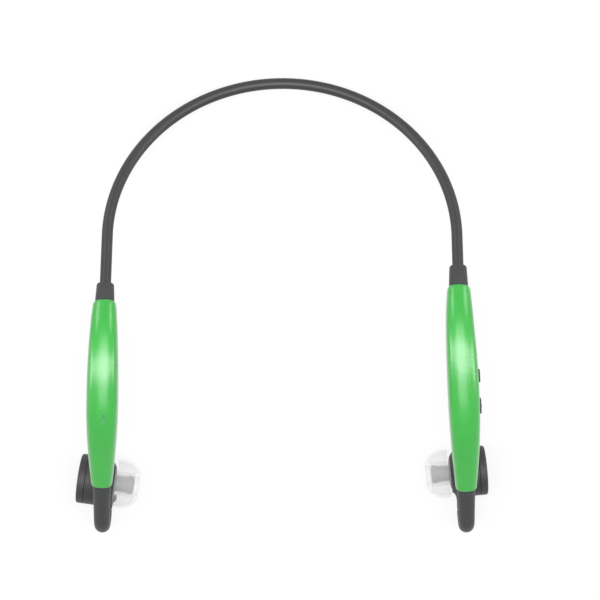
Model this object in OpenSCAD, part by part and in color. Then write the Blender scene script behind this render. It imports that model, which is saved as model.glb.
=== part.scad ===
// Behind-the-neck wireless stereo headset, in millimetres.
// It lies as on a table, on its two pods and the middle of its neckband. +Z is up,
// the wearer faces -Y, and +X is the wearer's left. A list of two values holds the
// right side first and the left side second.

/* [Overall] */
// Depth from the curled ends to the back of the neckband
depth = 153.5; // [150:0.5:158]
// Width over the backs of the two pods
pod_span = 137.2; // [134:0.2:142]

/* [Neckband] */
// Outer diameter of the neckband's jacket
band_d = 3.7; // [3.5:0.1:4]
// Angle at which the neckband climbs from the table to the arms
band_slope = 25; // [23:0.5:27]
// Diameter of the spring wire in the neckband
wire_d = 1.6; // [1.2:0.1:1.8]
// Diameter of each of the two stranded leads in the neckband
lead_d = 0.5; // [0.4:0.05:0.6]
// Distance of each lead from the middle of the spring wire
lead_offset = 1.3; // [1.25:0.05:1.35]
// Clearance all round the spring wire and the leads
lumen_gap = 0.03; // [0.02:0.01:0.04]

/* [Sleeves] */
// Length of each sleeve between neckband and arm
sleeve_l = [6.5, 7.5]; // [5:0.5:9]
// Diameter of a sleeve at the neckband
sleeve_d = 5.7; // [5.4:0.1:6.2]
// Diameter of a sleeve at the arm
sleeve_foot_d = 6.4; // [6:0.1:6.6]
// Diameter of the part of a sleeve that the arm clamps
sleeve_spigot_d = 4.7; // [4.5:0.1:4.9]

/* [Arms] */
// Place along Y where each arm starts
arm_y = [0.3, 5.2]; // [-2:0.1:8]
// Place along Y of each arm's highest point
crest_y = [-19.7, -15.6]; // [-23:0.1:-13]
// Angle at which each arm dives towards its front end
dive = [33, 31]; // [29:0.5:36]
// Length of each arm's shells along the arm
arm_l = [64.5, 70.2]; // [62:0.1:72]
// Distance by which each arm has leaned outwards where it curls, seen from above
splay = [2.4, 3.7]; // [2:0.1:4.5]
// Length over which each arm bends into its lean
splay_bend = [40, 12]; // [8:1:50]
// Width of an arm at its rear end
arm_rear_w = 7.3; // [7:0.1:8]
// Width of an arm where it is fullest
arm_mid_w = 10.3; // [9.8:0.1:11]
// Width of an arm at its front end
arm_front_w = 7; // [6.8:0.1:7.6]
// Height of the upper shell above the parting line: rear, fullest, front
top_h = [3.4, 4.6, 3.1]; // [3:0.1:5]
// Depth of the lower shell below the parting line: rear, fullest, front
base_h = [3.5, 5.2, 3.2]; // [3:0.1:6]
// Share of the arm's length at which it is fullest
fullest = 0.52; // [0.45:0.01:0.6]
// Wall of both shells
wall = 1.1; // [1:0.05:1.2]
// Gap between the two shells at the parting line
parting = 0.1; // [0.08:0.01:0.14]
// Length of the solid end of an arm that clamps the sleeve
rear_plug = 4.5; // [4:0.1:5]
// Length of the solid end of an arm that clamps the curled end
front_plug = 4.5; // [4.2:0.1:5]
// Rounding of the shells' rear rims
rim_round = 1.1; // [0.8:0.1:1.4]

/* [Screws] */
// Shank diameter of the screws that close the arms
screw_d = 1.3; // [1.2:0.1:1.4]
// Head diameter of the screws
screw_head_d = 2.4; // [2.2:0.1:2.5]
// Head height of the screws
screw_head_h = 0.6; // [0.5:0.1:0.7]
// Diameter of the posts that take the rear screws
post_d = 3.2; // [3:0.1:3.4]

/* [Curled ends] */
// Radius of the curl on its middle line
curl_r = 4.8; // [4.6:0.1:5]
// Width of a curled end where it leaves the arm
curl_w = 6.4; // [6.2:0.1:6.8]
// Width of a curled end at the pod
curl_end_w = 5; // [4.8:0.1:5.1]
// Thickness of a curled end
curl_t = 5.2; // [5:0.1:5.4]
// Diameter of the stubs that the arm and the pod hold
stub_d = 3.4; // [3.2:0.1:3.6]
// Length of the stub in the pod
stub_l = 1.6; // [1.2:0.1:2]

/* [Pods] */
// Radius of each pod
pod_r = 8.3; // [8.2:0.05:8.5]
// How far the back of each pod stands out beyond the neckband's leg
pod_reach = 10.9; // [10:0.1:12]
// Distance along Y from the front of the curled ends to the middle of each pod's back
pod_y = [17.95, 20.65]; // [17:0.05:22]
// Angle at which each pod looks forwards
pod_yaw = [8, 5]; // [3:0.5:9]
// Depth of a pod's back cap
cap_l = 2.6; // [2.4:0.1:3]
// Rounding of the cap's rim
cap_round = 0.7; // [0.5:0.1:1.5]
// Wall of cap and housing
pod_wall = 1.2; // [1:0.05:1.25]
// Place along the pod where its front starts to close in
pod_shoulder = 7.6; // [7.4:0.1:8]
// Place along the pod where the nozzle starts
nozzle_start = 12.4; // [12.2:0.1:12.8]
// Place along the pod where the nozzle ends
nozzle_end = 18.4; // [18:0.1:18.8]
// Radius of the nozzle
nozzle_r = 2.6; // [2.5:0.05:2.7]
// Radius of the sound bore
bore_r = 1.8; // [1.6:0.05:1.9]
// Radius of the rim that holds the ear tip
barb_r = 3.1; // [3:0.02:3.12]

/* [Drivers] */
// Radius of a driver's rim
driver_r = 6.8; // [6.6:0.05:6.9]
// Place along the pod of a driver's back
driver_back = 3.4; // [3.3:0.05:3.5]
// Depth of a driver
driver_l = 3.1; // [2.9:0.1:3.3]
// Radius of the diaphragm
diaphragm_r = 6; // [5.6:0.1:6.1]

/* [Ear tips] */
// Largest radius of an ear tip
tip_r = 8.15; // [7.8:0.05:8.2]
// Place along the pod of the ear tip's skirt
tip_rim = 12.3; // [12.2:0.05:12.4]
// Place along the pod of the ear tip's far end
tip_end = 20.2; // [19.8:0.1:20.8]
// Thickness of the ear tip's skirt
tip_wall = 0.7; // [0.6:0.05:0.8]
// Clearance between the ear tip's sleeve and the nozzle's rim
tip_fit = 0.05; // [0.04:0.01:0.08]

/* [Keys] */
// Distance of the rear and the front key from the left arm's front end
key_at = [40.4, 30.3]; // [28:0.1:42]
// Length of the rear and the front key
key_l = [4.4, 5.4]; // [4:0.1:5.8]
// Height of both keys
key_h = 1.8; // [1.6:0.1:2]
// How far the keys stand proud of the arm
key_proud = 0.5; // [0.4:0.05:0.6]
// Travel of each side key
key_travel = 0.35; // [0.3:0.01:0.38]
// Clearance round every key
key_gap = 0.1; // [0.08:0.01:0.15]
// Radius of the call key in the right pod
call_r = 4; // [3.6:0.1:4.4]
// Travel of the call key
call_travel = 0.4; // [0.3:0.01:0.42]

/* [Electronics] */
// Thickness of the main board
board_t = 0.8; // [0.6:0.1:1]
// Distance from the left arm's front end to where the main board starts and ends
board_span = [47.7, 13.7]; // [13:0.1:49]
// Height of the main board above and below the arm's middle line
board_edges = [2.4, -2.7]; // [-3.2:0.1:2.6]
// Distance of the charging socket from the left arm's front end
socket_at = 20.2; // [19.7:0.1:20.7]
// Length, width and depth of the charging socket
socket = [7.4, 2.6, 4.6]; // [2.4:0.1:7.6]
// Length, width and thickness of the charging socket's cover
cover = [10.4, 3.6, 1]; // [0.9:0.1:10.8]
// How far the cover pulls out
cover_travel = 3.5; // [3:0.1:3.8]
// Distance of the microphone from the left arm's front end
mic_at = 8.6; // [8.4:0.1:8.8]
// Radius of the microphone
mic_r = 1.5; // [1.4:0.05:1.6]
// Length, width and thickness of the rechargeable cell
cell = [23, 6.2, 4.1]; // [3.8:0.1:24]
// Place of the middle of the cell along the right arm
cell_at = 22.5; // [22:0.1:23]
// Distance of the status light from the cell's front end
light_at = 3.3; // [3:0.1:6.5]
// Length of the status light's window
light_l = 4.2; // [3.8:0.1:5]
// Width of the status light's window
light_w = 1.5; // [1.4:0.05:1.9]
// Distance of the status light from the arm's middle line, towards the wearer
light_x = 0.9; // [0.5:0.1:1.1]

/* [Hidden] */

$fn = 64;
right = 0;
left = 1;

// Colours as the headset wears them
green = "#4fbf50";
dark_plastic = "#3f3f42";
dark_rubber = "#4a4a4c";
silicone = "#e6e6e6";
steel = "#b9bcc0";
copper = "#b87333";
board_green = "#1f6b3a";
black_plastic = "#232325";

// Seats and running clearances
slip = 0.05;            // between a bore and what is clamped in it
face_gap = 0.1;         // between two end faces
seat_gap = 0.1;         // between an inner piece and its seat
overrun = 0.5;          // how far a cut runs past the face it opens
squareness = 2.5;       // exponent of the arms' rounded-box sections
arc_steps = 12;         // facets of half a shell section
span_steps = 15;        // rings along the hollow stretch of a shell
step_l = 0.3;           // length over which a plug opens into the hollow

// ---- The line of the neckband and of the arms ----

apex_y = depth / 2 - band_d / 2;
apex_z = band_d / 2;
// Radius of the neckband behind the neck, which is the distance of its legs from the middle
band_r = pod_span / 2 - pod_reach;

// Place of an arm's start along the leg, and its height above the table
function arm_v(side) = (arm_y[side] - apex_y) / cos(band_slope);
function arm_z(side) = apex_z - arm_v(side) * sin(band_slope);

// Seen from the side, an arm is a straight end, two arcs that meet at the crest, a
// straight dive and the curl. Points are [y, z] from the arm's start.
function on_end(u) = [-u * cos(band_slope), u * sin(band_slope), band_slope];
function rear_arc_r(side) =
    (arm_y[side] - crest_y[side] + on_end(rear_plug)[0]) / sin(band_slope);
function crest(side) = [
    crest_y[side] - arm_y[side],
    on_end(rear_plug)[1] + rear_arc_r(side) * (1 - cos(band_slope))
];
function curl_centre(side) = [
    -depth / 2 + curl_t / 2 + curl_r - arm_y[side],
    pod_r + curl_r - arm_z(side)
];
function normal(angle) = [sin(angle), cos(angle)];
// Radius of the front arc whose tangent also touches the curl
function front_arc_r(side) =
    (curl_r + normal(-dive[side]) * (curl_centre(side) - crest(side))) / (1 - cos(dive[side]));
function arc_l(radius, angle) = radius * angle * PI / 180;
function arc_angle(radius, length) = length / radius * 180 / PI;
function on_arc(side, radius, angle) = [
    crest(side)[0] + radius * sin(angle),
    crest(side)[1] - radius * (1 - cos(angle)),
    angle
];
function dive_start(side) = on_arc(side, front_arc_r(side), -dive[side]);
function dive_end(side) = curl_centre(side) + curl_r * normal(-dive[side]);
function dive_l(side) = norm(dive_end(side) - [dive_start(side)[0], dive_start(side)[1]]);
function rear_l(side) = rear_plug + arc_l(rear_arc_r(side), band_slope);
function front_l(side) = arc_l(front_arc_r(side), dive[side]);
function curl_start(side) = rear_l(side) + front_l(side) + dive_l(side);
function curl_finish(side) = curl_start(side) + arc_l(curl_r, 180 - dive[side]);

// Place and slope [y, z, angle] at the length u along an arm
function station(side, u) =
    u < rear_plug
        ? on_end(u)
    : u < rear_l(side)
        ? on_arc(side, rear_arc_r(side),
                 band_slope - arc_angle(rear_arc_r(side), u - rear_plug))
    : u < rear_l(side) + front_l(side)
        ? on_arc(side, front_arc_r(side), -arc_angle(front_arc_r(side), u - rear_l(side)))
    : u < curl_start(side)
        ? let (run = u - rear_l(side) - front_l(side))
          [dive_start(side)[0] - run * cos(dive[side]),
           dive_start(side)[1] - run * sin(dive[side]),
           -dive[side]]
    : let (turn = -dive[side] - arc_angle(curl_r, u - curl_start(side)),
           point = curl_centre(side) + curl_r * normal(turn))
      [point[0], point[1], turn];

// Seen from above, the line keeps straight in the sleeve's end and then leans outwards
function lean_from(y) = -y - rear_plug;
function splay_angle(side) =
    atan(splay[side] / (lean_from(curl_centre(side)[0]) - splay_bend[side] / 2));
function lean_angle(side, y) =
    splay_angle(side) * min(1, max(0, lean_from(y) / splay_bend[side]));
function lean(side, y) =
    let (run = lean_from(y), bend = splay_bend[side])
    run < 0 ? 0
    : tan(splay_angle(side)) * (run < bend ? run * run / bend / 2 : run - bend / 2);

// A point beside the arm's line: x sideways, n along its upward normal
function beside(side, place, x, n) =
    let (turn = lean_angle(side, place[0]), across = n * sin(place[2]))
    [lean(side, place[0]) + x * cos(turn) - across * sin(turn),
     place[0] + x * sin(turn) + across * cos(turn),
     place[1] + n * cos(place[2])];

// ---- Sections of the arms ----

// Size that swells from rear to middle and shrinks to the front
function swell(share, sizes) =
    share < fullest
        ? sizes[0] + (sizes[1] - sizes[0]) * pow(sin(90 * share / fullest), 0.7)
        : sizes[2] + (sizes[1] - sizes[2]) * cos(90 * (share - fullest) / (1 - fullest));
// Share of the section that is left at a rounded rim
function rim_share(side, u) =
    let (near = max(0, 1 - min(u, arm_l[side] - u + rim_round / 2) / rim_round))
    1 - 0.1 * near * near;
function half_w(side, u) =
    rim_share(side, u) * swell(u / arm_l[side], [arm_rear_w, arm_mid_w, arm_front_w]) / 2;
function up_h(side, u) = rim_share(side, u) * swell(u / arm_l[side], top_h);
function down_h(side, u) = rim_share(side, u) * swell(u / arm_l[side], base_h);

// A rounded-box arc: angle 0 is at the side, 90 at the middle
function bow(half, height, angle, power) = [
    half * sign(cos(angle)) * pow(abs(cos(angle)), 2 / power),
    height * pow(abs(sin(angle)), 2 / power)
];
function plug_bore_r(side, u) =
    u <= rear_plug ? sleeve_spigot_d / 2 + slip
    : u >= arm_l[side] - front_plug ? stub_d / 2 + slip
    : 0;

// One section of a shell: the outer arc, then the inner arc back. up is 1 or -1.
function shell_ring(side, u, up) =
    let (place = station(side, u),
         half = half_w(side, u),
         height = (up > 0 ? up_h(side, u) : down_h(side, u)) - parting / 2,
         bore = plug_bore_r(side, u),
         arc = [for (k = [0 : arc_steps]) 180 * k / arc_steps])
    concat(
        [for (angle = arc)
            let (p = bow(half, height, angle, squareness))
            beside(side, place, p[0], up * (p[1] + parting / 2))],
        [for (k = [arc_steps : -1 : 0])
            let (p = bore > 0
                    ? bow(bore, bore - parting / 2, arc[k], 2)
                    : bow(half - wall, height - wall, arc[k], squareness))
            beside(side, place, p[0], up * (p[1] + parting / 2))]);

function shell_stations(side) =
    let (first = rear_plug + step_l,
         last = arm_l[side] - front_plug - step_l)
    concat(
        [0, rim_round / 3, rim_round, rear_plug],
        [for (k = [0 : span_steps]) first + (last - first) * k / span_steps],
        [arm_l[side] - front_plug, arm_l[side] - rim_round / 3, arm_l[side]]);

// ---- Lofting ----

function quad(a, b, c, d, flip) = flip ? [[a, c, b], [a, d, c]] : [[a, b, c], [a, c, d]];

// A solid through rings of equal length. split closes the ends of a C-shaped ring.
module loft(rings, flip = false, split = false) {
    n = len(rings);
    m = len(rings[0]);
    sides = [for (j = [0 : n - 2], k = [0 : m - 1])
        each quad(j * m + k, j * m + (k + 1) % m,
                  (j + 1) * m + (k + 1) % m, (j + 1) * m + k, flip)];
    ends = split
        ? [for (j = [0, n - 1], k = [0 : m / 2 - 2])
            each quad(j * m + k, j * m + k + 1,
                      j * m + m - 2 - k, j * m + m - 1 - k, flip != (j == 0))]
        : [for (j = [0, n - 1])
            [for (k = [0 : m - 1]) j * m + (flip != (j == 0) ? m - 1 - k : k)]];
    polyhedron(points = [for (ring = rings) each ring], faces = concat(sides, ends));
}

// ---- Frames ----

// The neckband's plane, with its origin at the middle of the band
module band_plane() {
    translate([0, apex_y, apex_z]) rotate([-band_slope, 0, 0]) children();
}

// The left half as drawn, the right half mirrored
module on_side(side) {
    mirror([side == right ? 1 : 0, 0, 0]) children();
}

// An arm's own frame, with its origin where the arm starts
module arm_frame(side) {
    on_side(side)
        translate([band_r, arm_y[side], arm_z(side)]) children();
}

// A frame on the arm's line: -Y runs along the arm, +Z is its upward normal
module at_station(side, u) {
    place = station(side, u);
    translate([lean(side, place[0]), place[0], place[1]])
        rotate([0, 0, lean_angle(side, place[0])]) rotate([-place[2], 0, 0]) children();
}

// The upright plane that an arm's line runs in once it leans
module lean_plane(side) {
    start = rear_plug + splay_bend[side] / 2;
    translate([0, -start, 0]) rotate([0, 0, splay_angle(side)])
        translate([0, start, 0]) children();
}

// Place along Y of the middle of a pod's back
function pod_back_y(side) = pod_y[side] - depth / 2;

// A pod's own frame: +Z runs from its back to its nozzle, -Y points forwards
module pod_frame(side) {
    on_side(side)
        translate([pod_span / 2, pod_back_y(side), pod_r])
            rotate([0, 0, pod_yaw[side]]) rotate([0, -90, 0]) children();
}

// Solid of revolution between two outlines given as [radius, place along the pod]
module turned(outline) {
    rotate_extrude() polygon(outline);
}

// A flat bar with round ends, its length along Y
module stadium(length, width) {
    straight = length - width;
    square([width, straight], center = true);
    for (end = [-1, 1]) translate([0, end * straight / 2]) circle(d = width);
}

// ---- Neckband ----

// Carries a section along the band: half a ring and two straight legs
module along_band(past_start) {
    translate([0, -band_r, 0])
        rotate_extrude(angle = 180) translate([band_r, 0]) children();
    for (side = [right, left]) mirror([side == right ? 1 : 0, 0, 0])
        translate([band_r, -band_r, 0]) rotate([90, 0, 0])
            linear_extrude(-band_r - arm_v(side) + past_start) children();
}

module leads_section(diameter) {
    for (up = [-1, 1]) translate([0, up * lead_offset]) circle(d = diameter);
}

module neckband_jacket() {
    color(dark_plastic) band_plane() along_band(rear_plug - face_gap) difference() {
        circle(d = band_d);
        circle(d = wire_d + 2 * lumen_gap);
        leads_section(lead_d + 2 * lumen_gap);
    }
}

module neckband_core_wire() {
    color(steel) band_plane() along_band(rear_plug) circle(d = wire_d);
}

module neckband_leads() {
    color(copper) band_plane() along_band(rear_plug + face_gap) leads_section(lead_d);
}

module sleeve(side) {
    color(dark_rubber) band_plane() on_side(side)
        translate([band_r, arm_v(side) + sleeve_l[side], 0]) rotate([90, 0, 0])
            difference() {
                union() {
                    cylinder(h = sleeve_l[side] - face_gap, d1 = sleeve_d, d2 = sleeve_foot_d);
                    cylinder(h = sleeve_l[side] + rear_plug - face_gap, d = sleeve_spigot_d);
                }
                translate([0, 0, -overrun])
                    cylinder(h = sleeve_l[side] + rear_plug + 2 * overrun, d = band_d + 2 * slip);
            }
}

// ---- Arms ----

// Place of the rear and the front screw along an arm
function screw_at(side) = [rear_plug + step_l + post_d / 2, arm_l[side] - front_plug / 2];
// Depth of a screw head's seat below the arm's line
function head_seat(side, u) = down_h(side, u) - screw_head_h - 2 * seat_gap;

module shell(side, up) {
    loft([for (u = shell_stations(side)) shell_ring(side, u, up)],
         flip = up > 0, split = true);
}

// A cross wall in the lower shell from u1 to u2, from the floor up to the height top
module cross_wall(side, u1, u2, top) {
    ring_steps = 10;
    function wall_ring(u) =
        let (place = station(side, u),
             half = half_w(side, u) - wall / 2,
             height = down_h(side, u) - wall / 2,
             start = asin(pow(-top / height, squareness / 2)))
        [for (k = [0 : ring_steps])
            let (p = bow(half, height, start + (180 - 2 * start) * k / ring_steps, squareness))
            beside(side, place, p[0], k == 0 || k == ring_steps ? top : -p[1])];
    loft([wall_ring(u1), wall_ring(u2)]);
}

module arm_top(side) {
    rear = screw_at(side)[0];
    front = screw_at(side)[1];
    color(green) arm_frame(side) difference() {
        union() {
            shell(side, 1);
            at_station(side, rear) translate([0, 0, parting / 2])
                cylinder(h = up_h(side, rear) - wall / 2, d = post_d);
        }
        at_station(side, rear) translate([0, 0, -overrun])
            cylinder(h = up_h(side, rear) - wall + overrun, d = screw_d + 2 * slip);
        at_station(side, front) translate([0, 0, -overrun])
            cylinder(h = up_h(side, front) - wall / 2 + overrun, d = screw_d + 2 * slip);
        if (side == left) key_slots();
        if (side == right) at_station(side, light_u) translate([-light_x, 0, wall])
            linear_extrude(top_h[1]) light_window(key_gap);
    }
}

module arm_base(side) {
    rear = screw_at(side)[0];
    front = screw_at(side)[1];
    color(dark_plastic) arm_frame(side) difference() {
        union() {
            shell(side, -1);
            at_station(side, rear) translate([0, 0, wall / 2 - down_h(side, rear)])
                cylinder(h = down_h(side, rear) - wall / 2 - parting / 2, d = post_d);
            if (side == left) left_base_walls();
            if (side == right) right_base_walls();
        }
        for (u = [rear, front]) at_station(side, u) {
            translate([0, 0, -base_h[1]]) cylinder(h = base_h[1] + overrun, d = screw_d + 4 * slip);
            translate([0, 0, -head_seat(side, u) - base_h[1]])
                cylinder(h = base_h[1], d = screw_head_d + 4 * slip);
        }
        if (side == left) left_base_cuts();
    }
}

module arm_screws(side) {
    color(steel) arm_frame(side) for (u = screw_at(side)) at_station(side, u) {
        seat = head_seat(side, u) + slip;
        translate([0, 0, -seat]) cylinder(h = seat + up_h(side, u) - wall - seat_gap, d = screw_d);
        difference() {
            translate([0, 0, -seat - screw_head_h]) cylinder(h = screw_head_h, d = screw_head_d);
            translate([0, 0, -seat - screw_head_h]) for (turn = [0, 90]) rotate([0, 0, turn])
                cube([screw_head_d * 0.6, screw_d * 0.25, screw_head_h], center = true);
        }
    }
}

// ---- Left arm: main board, keys, charging socket, microphone ----

// Lengths along the left arm's line of what is placed from its front end
board_u = [for (distance = board_span) arm_l[left] - distance];
key_u = [for (distance = key_at) arm_l[left] - distance];
socket_u = arm_l[left] - socket_at;
mic_u = arm_l[left] - mic_at;

// Cross walls that hold the board on edge, the socket's floor and the microphone's seat
wall_l = 1;
wall_top = -2;
socket_floor_l = cover[0] + 2;
socket_floor_t = 1.2;
wall_at = [
    board_u[0] + 1.5,
    (key_u[0] + key_u[1]) / 2,
    socket_u - socket_floor_l / 2 + wall_l / 2
];
socket_mouth = down_h(left, socket_u) - cover[2];
mic_seat = 1.9;
mic_rest = 0.4;
mic_hole_d = 0.9;

// Place of the cover's retaining leg, beside the board and ahead of the socket
cover_leg_d = 0.8;
leg_beside_board = 0.65;
leg_ahead_of_socket = 0.55;
module cover_leg() {
    translate([board_t / 2 + leg_beside_board, -socket[0] / 2 - leg_ahead_of_socket, -base_h[1]])
        children();
}

module left_base_walls() {
    for (u = wall_at) cross_wall(left, u - wall_l / 2, u + wall_l / 2, wall_top);
    cross_wall(left, socket_u - socket_floor_l / 2, socket_u + socket_floor_l / 2,
               -socket_mouth + socket_floor_t);
    cross_wall(left, mic_u - mic_r - mic_rest, mic_u + mic_r + mic_rest, -mic_seat);
}

module left_base_cuts() {
    key_slots();
    for (u = wall_at) at_station(left, u) board_slot(wall_l);
    at_station(left, socket_u) {
        board_slot(socket_floor_l);
        translate([0, 0, -base_h[1]])
            linear_extrude(base_h[1]) square([socket[1] + 2 * seat_gap, socket[0] + 2 * seat_gap],
                                             center = true);
        translate([0, 0, -socket_mouth - base_h[1]])
            linear_extrude(base_h[1]) stadium(cover[0] + 2 * key_gap, cover[1] + 2 * key_gap);
        cover_leg() cylinder(h = base_h[1], d = cover_leg_d + 2 * key_gap);
    }
    at_station(left, mic_u) translate([0, 0, -base_h[1]])
        cylinder(h = base_h[1], d = mic_hole_d);
}

// Slot for the board's lower edge across a stretch of the given length
module board_slot(length) {
    long = length + 2 * overrun;
    sag = long * long / 8 / front_arc_r(left);
    translate([-board_t / 2 - seat_gap, -long / 2, board_edges[1] - seat_gap - sag])
        cube([board_t + 2 * seat_gap, long, base_h[1]]);
}

// The board stands on edge along the front arc of the arm
module board_blank() {
    radius = front_arc_r(left);
    start = arc_angle(radius, board_u[0] - rear_l(left));
    lean_plane(left) translate([0, crest(left)[0], crest(left)[1] - radius])
        rotate([0, 90, 0]) rotate([0, 0, 180 + start])
            rotate_extrude(angle = arc_angle(radius, board_u[1] - board_u[0]))
                translate([radius + board_edges[1], -board_t / 2])
                    square([board_edges[0] - board_edges[1], board_t]);
}

module main_board() {
    // Each chip's distance from the board's rear end, and its length, height and thickness
    chips = [[5, 3, 2.8, 0.8], [10.5, 3, 4, 0.8], [16.5, 3, 4, 0.8]];
    color(board_green) arm_frame(left) {
        difference() {
            board_blank();
            at_station(left, socket_u)
                translate([0, 0, -socket_mouth + (socket[2] + seat_gap) / 2 - overrun])
                    cube([2 * board_t, socket[0] + 2 * seat_gap, socket[2] + seat_gap + 2 * overrun],
                         center = true);
        }
        for (chip = chips) at_station(left, board_u[0] + chip[0])
            translate([slip - board_t / 2 - chip[3] / 2, 0, 0.3])
                cube([chip[3], chip[1], chip[2]], center = true);
    }
}

// Place of the switches' faces, the plungers' ends and the keys' inner faces
switch_body = [2.6, 3, 1.1];
plunger_d = 1.3;
switch_face = board_t / 2 + switch_body[2];
plunger_end = switch_face + 0.4;
key_z = -0.3;
function key_inner(index) = plunger_end + key_travel + slip;
function key_outer(index) = half_w(left, key_u[index]) + key_proud;

module key_switches() {
    color(black_plastic) arm_frame(left) for (u = key_u) at_station(left, u)
        translate([board_t / 2, 0, key_z]) rotate([0, 90, 0]) {
            translate([0, 0, switch_body[2] / 2]) cube(switch_body, center = true);
            cylinder(h = plunger_end - board_t / 2, d = plunger_d);
        }
}

module key_slots() {
    for (index = [0, 1]) at_station(left, key_u[index])
        translate([wall, 0, key_z]) rotate([0, 90, 0])
            linear_extrude(arm_mid_w) stadium(key_l[index] + 2 * key_gap, key_h + 2 * key_gap);
}

module side_key(index) {
    foot_t = 0.5;
    foot_l = key_l[index] + 1.2;
    foot_out = half_w(left, key_u[index]) - wall - 0.3;
    color(dark_rubber) arm_frame(left) at_station(left, key_u[index])
        translate([0, 0, key_z]) rotate([0, 90, 0]) {
            translate([0, 0, key_inner(index)])
                linear_extrude(key_outer(index) - key_inner(index)) stadium(key_l[index], key_h);
            translate([0, 0, foot_out - foot_t])
                linear_extrude(foot_t) stadium(foot_l, key_h);
        }
}

module charging_socket() {
    lining = 0.3;
    tongue = [4.6, 0.7];
    tongue_back = 1.2;
    color(steel) arm_frame(left) at_station(left, socket_u) translate([0, 0, -socket_mouth])
        union() {
            difference() {
                linear_extrude(socket[2]) square([socket[1], socket[0]], center = true);
                translate([0, 0, -overrun])
                    linear_extrude(socket[2] - lining + overrun)
                        square([socket[1] - 2 * lining, socket[0] - 2 * lining], center = true);
            }
            translate([0, 0, tongue_back]) linear_extrude(socket[2] - tongue_back)
                square([tongue[1], tongue[0]], center = true);
        }
}

module socket_cover() {
    nub = [6.2, 1.5, 0.9];
    leg_l = cover_travel + 1.2;
    color(dark_rubber) arm_frame(left) at_station(left, socket_u) {
        translate([0, 0, -socket_mouth - cover[2]])
            linear_extrude(cover[2] - seat_gap) stadium(cover[0], cover[1]);
        translate([0, 0, -socket_mouth - 2 * seat_gap])
            linear_extrude(nub[2]) square([nub[1], nub[0]], center = true);
        translate([0, 0, base_h[1] - socket_mouth - 2 * seat_gap])
            cover_leg() cylinder(h = leg_l, d = cover_leg_d);
    }
}

module microphone() {
    color(steel) arm_frame(left) at_station(left, mic_u)
        translate([0, 0, slip - mic_seat]) cylinder(h = 1.4, r = mic_r);
}

// ---- Right arm: cell and status light ----

light_u = cell_at + cell[0] / 2 + light_at;
cell_drop = -1.2;
cell_round = 1.4;
light_seat = 1.4;
light_rest = 2;
stop_gap = 1.5;
// Height of the cell's underside above the arm's line at a distance from its middle
function cell_under(run) =
    cell_drop - cell[2] / 2 + run * run / 2 / max(rear_arc_r(right), front_arc_r(right));

module right_base_walls() {
    half = cell[0] / 2;
    rest = half * 0.6;
    for (end = [-1, 1]) {
        stop_at = cell_at + end * (half + stop_gap);
        rest_at = cell_at + end * rest;
        cross_wall(right, stop_at - wall_l / 2, stop_at + wall_l / 2, -light_seat - seat_gap);
        cross_wall(right, rest_at - wall_l / 2, rest_at + wall_l / 2,
                   cell_under(rest - wall_l / 2) - seat_gap);
    }
    cross_wall(right, light_u - light_rest, light_u + light_rest, -light_seat);
}

module battery_cell() {
    color(silicone) arm_frame(right) at_station(right, cell_at)
        translate([0, cell[0] / 2, cell_drop]) rotate([90, 0, 0]) linear_extrude(cell[0]) {
            square([cell[1] - 2 * cell_round, cell[2]], center = true);
            square([cell[1], cell[2] - 2 * cell_round], center = true);
            for (x = [-1, 1], y = [-1, 1])
                translate([x * (cell[1] / 2 - cell_round), y * (cell[2] / 2 - cell_round)])
                    circle(r = cell_round);
        }
}

module light_board() {
    plate = [4.4, 4.6, 0.6];
    lamp = [1, 1.6, 0.8];
    color(board_green) arm_frame(right) at_station(right, light_u)
        translate([0, 0, slip - light_seat]) {
            translate([0, 0, plate[2] / 2]) cube(plate, center = true);
            translate([-light_x, 0, plate[2] - 0.1 + lamp[2] / 2]) cube(lamp, center = true);
        }
}

// A drop shape with its point to the rear
module light_window(gap) {
    big_r = light_w / 2 + gap;
    translate([0, -light_l / 2 + light_w / 2]) circle(r = big_r);
    polygon([[-big_r, -light_l / 2 + light_w / 2], [big_r, -light_l / 2 + light_w / 2],
             [light_w / 5 + gap, light_l / 2 + gap], [-light_w / 5 - gap, light_l / 2 + gap]]);
}

module light_pipe() {
    below_skin = 0.02;
    window_t = 1.6;
    top = up_h(right, light_u) - below_skin;
    color(silicone) arm_frame(right) at_station(right, light_u) translate([-light_x, 0, 0]) {
        translate([0, 0, top - window_t]) linear_extrude(window_t) light_window(0);
        cylinder(h = top - window_t / 2, d = light_w - 0.4);
    }
}

// ---- Curled ends ----

module curl(side) {
    around = 20;
    start = arm_l[side] + face_gap;
    finish = curl_finish(side);
    dive_rings = 3;
    curl_rings = 14;
    spans = concat(
        [for (k = [0 : dive_rings]) start + (curl_start(side) - start) * k / dive_rings],
        [for (k = [1 : curl_rings])
            curl_start(side) + (finish - curl_start(side)) * k / curl_rings]);
    function curl_ring(u) =
        let (share = (u - start) / (finish - start),
             half = (curl_w + (curl_end_w - curl_w) * sqrt(share)) / 2)
        [for (k = [0 : around - 1])
            let (angle = 360 * k / around)
            beside(side, station(side, u), half * cos(angle), curl_t / 2 * sin(angle))];
    color(dark_rubber) arm_frame(side) difference() {
        union() {
            loft([for (u = spans) curl_ring(u)], flip = true);
            at_station(side, start) translate([0, -overrun, 0]) rotate([-90, 90, 0])
                cylinder(h = front_plug + overrun, d = stub_d);
            at_station(side, finish) translate([0, overrun, 0]) rotate([90, 0, 0])
                cylinder(h = stub_l + overrun, d = stub_d);
        }
        at_station(side, screw_at(side)[1]) translate([0, 0, -stub_d])
            cylinder(h = 2 * stub_d, d = screw_d + 4 * slip);
    }
}

// ---- Pods ----

// Radius of the housing's closing front at a place along the pod
function front_r(along, inset) =
    let (share = (along - pod_shoulder) / (nozzle_start - pod_shoulder))
    nozzle_r + 0.8 + (pod_r - nozzle_r - 0.8) * sqrt(max(0, 1 - share * share)) - inset;

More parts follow.
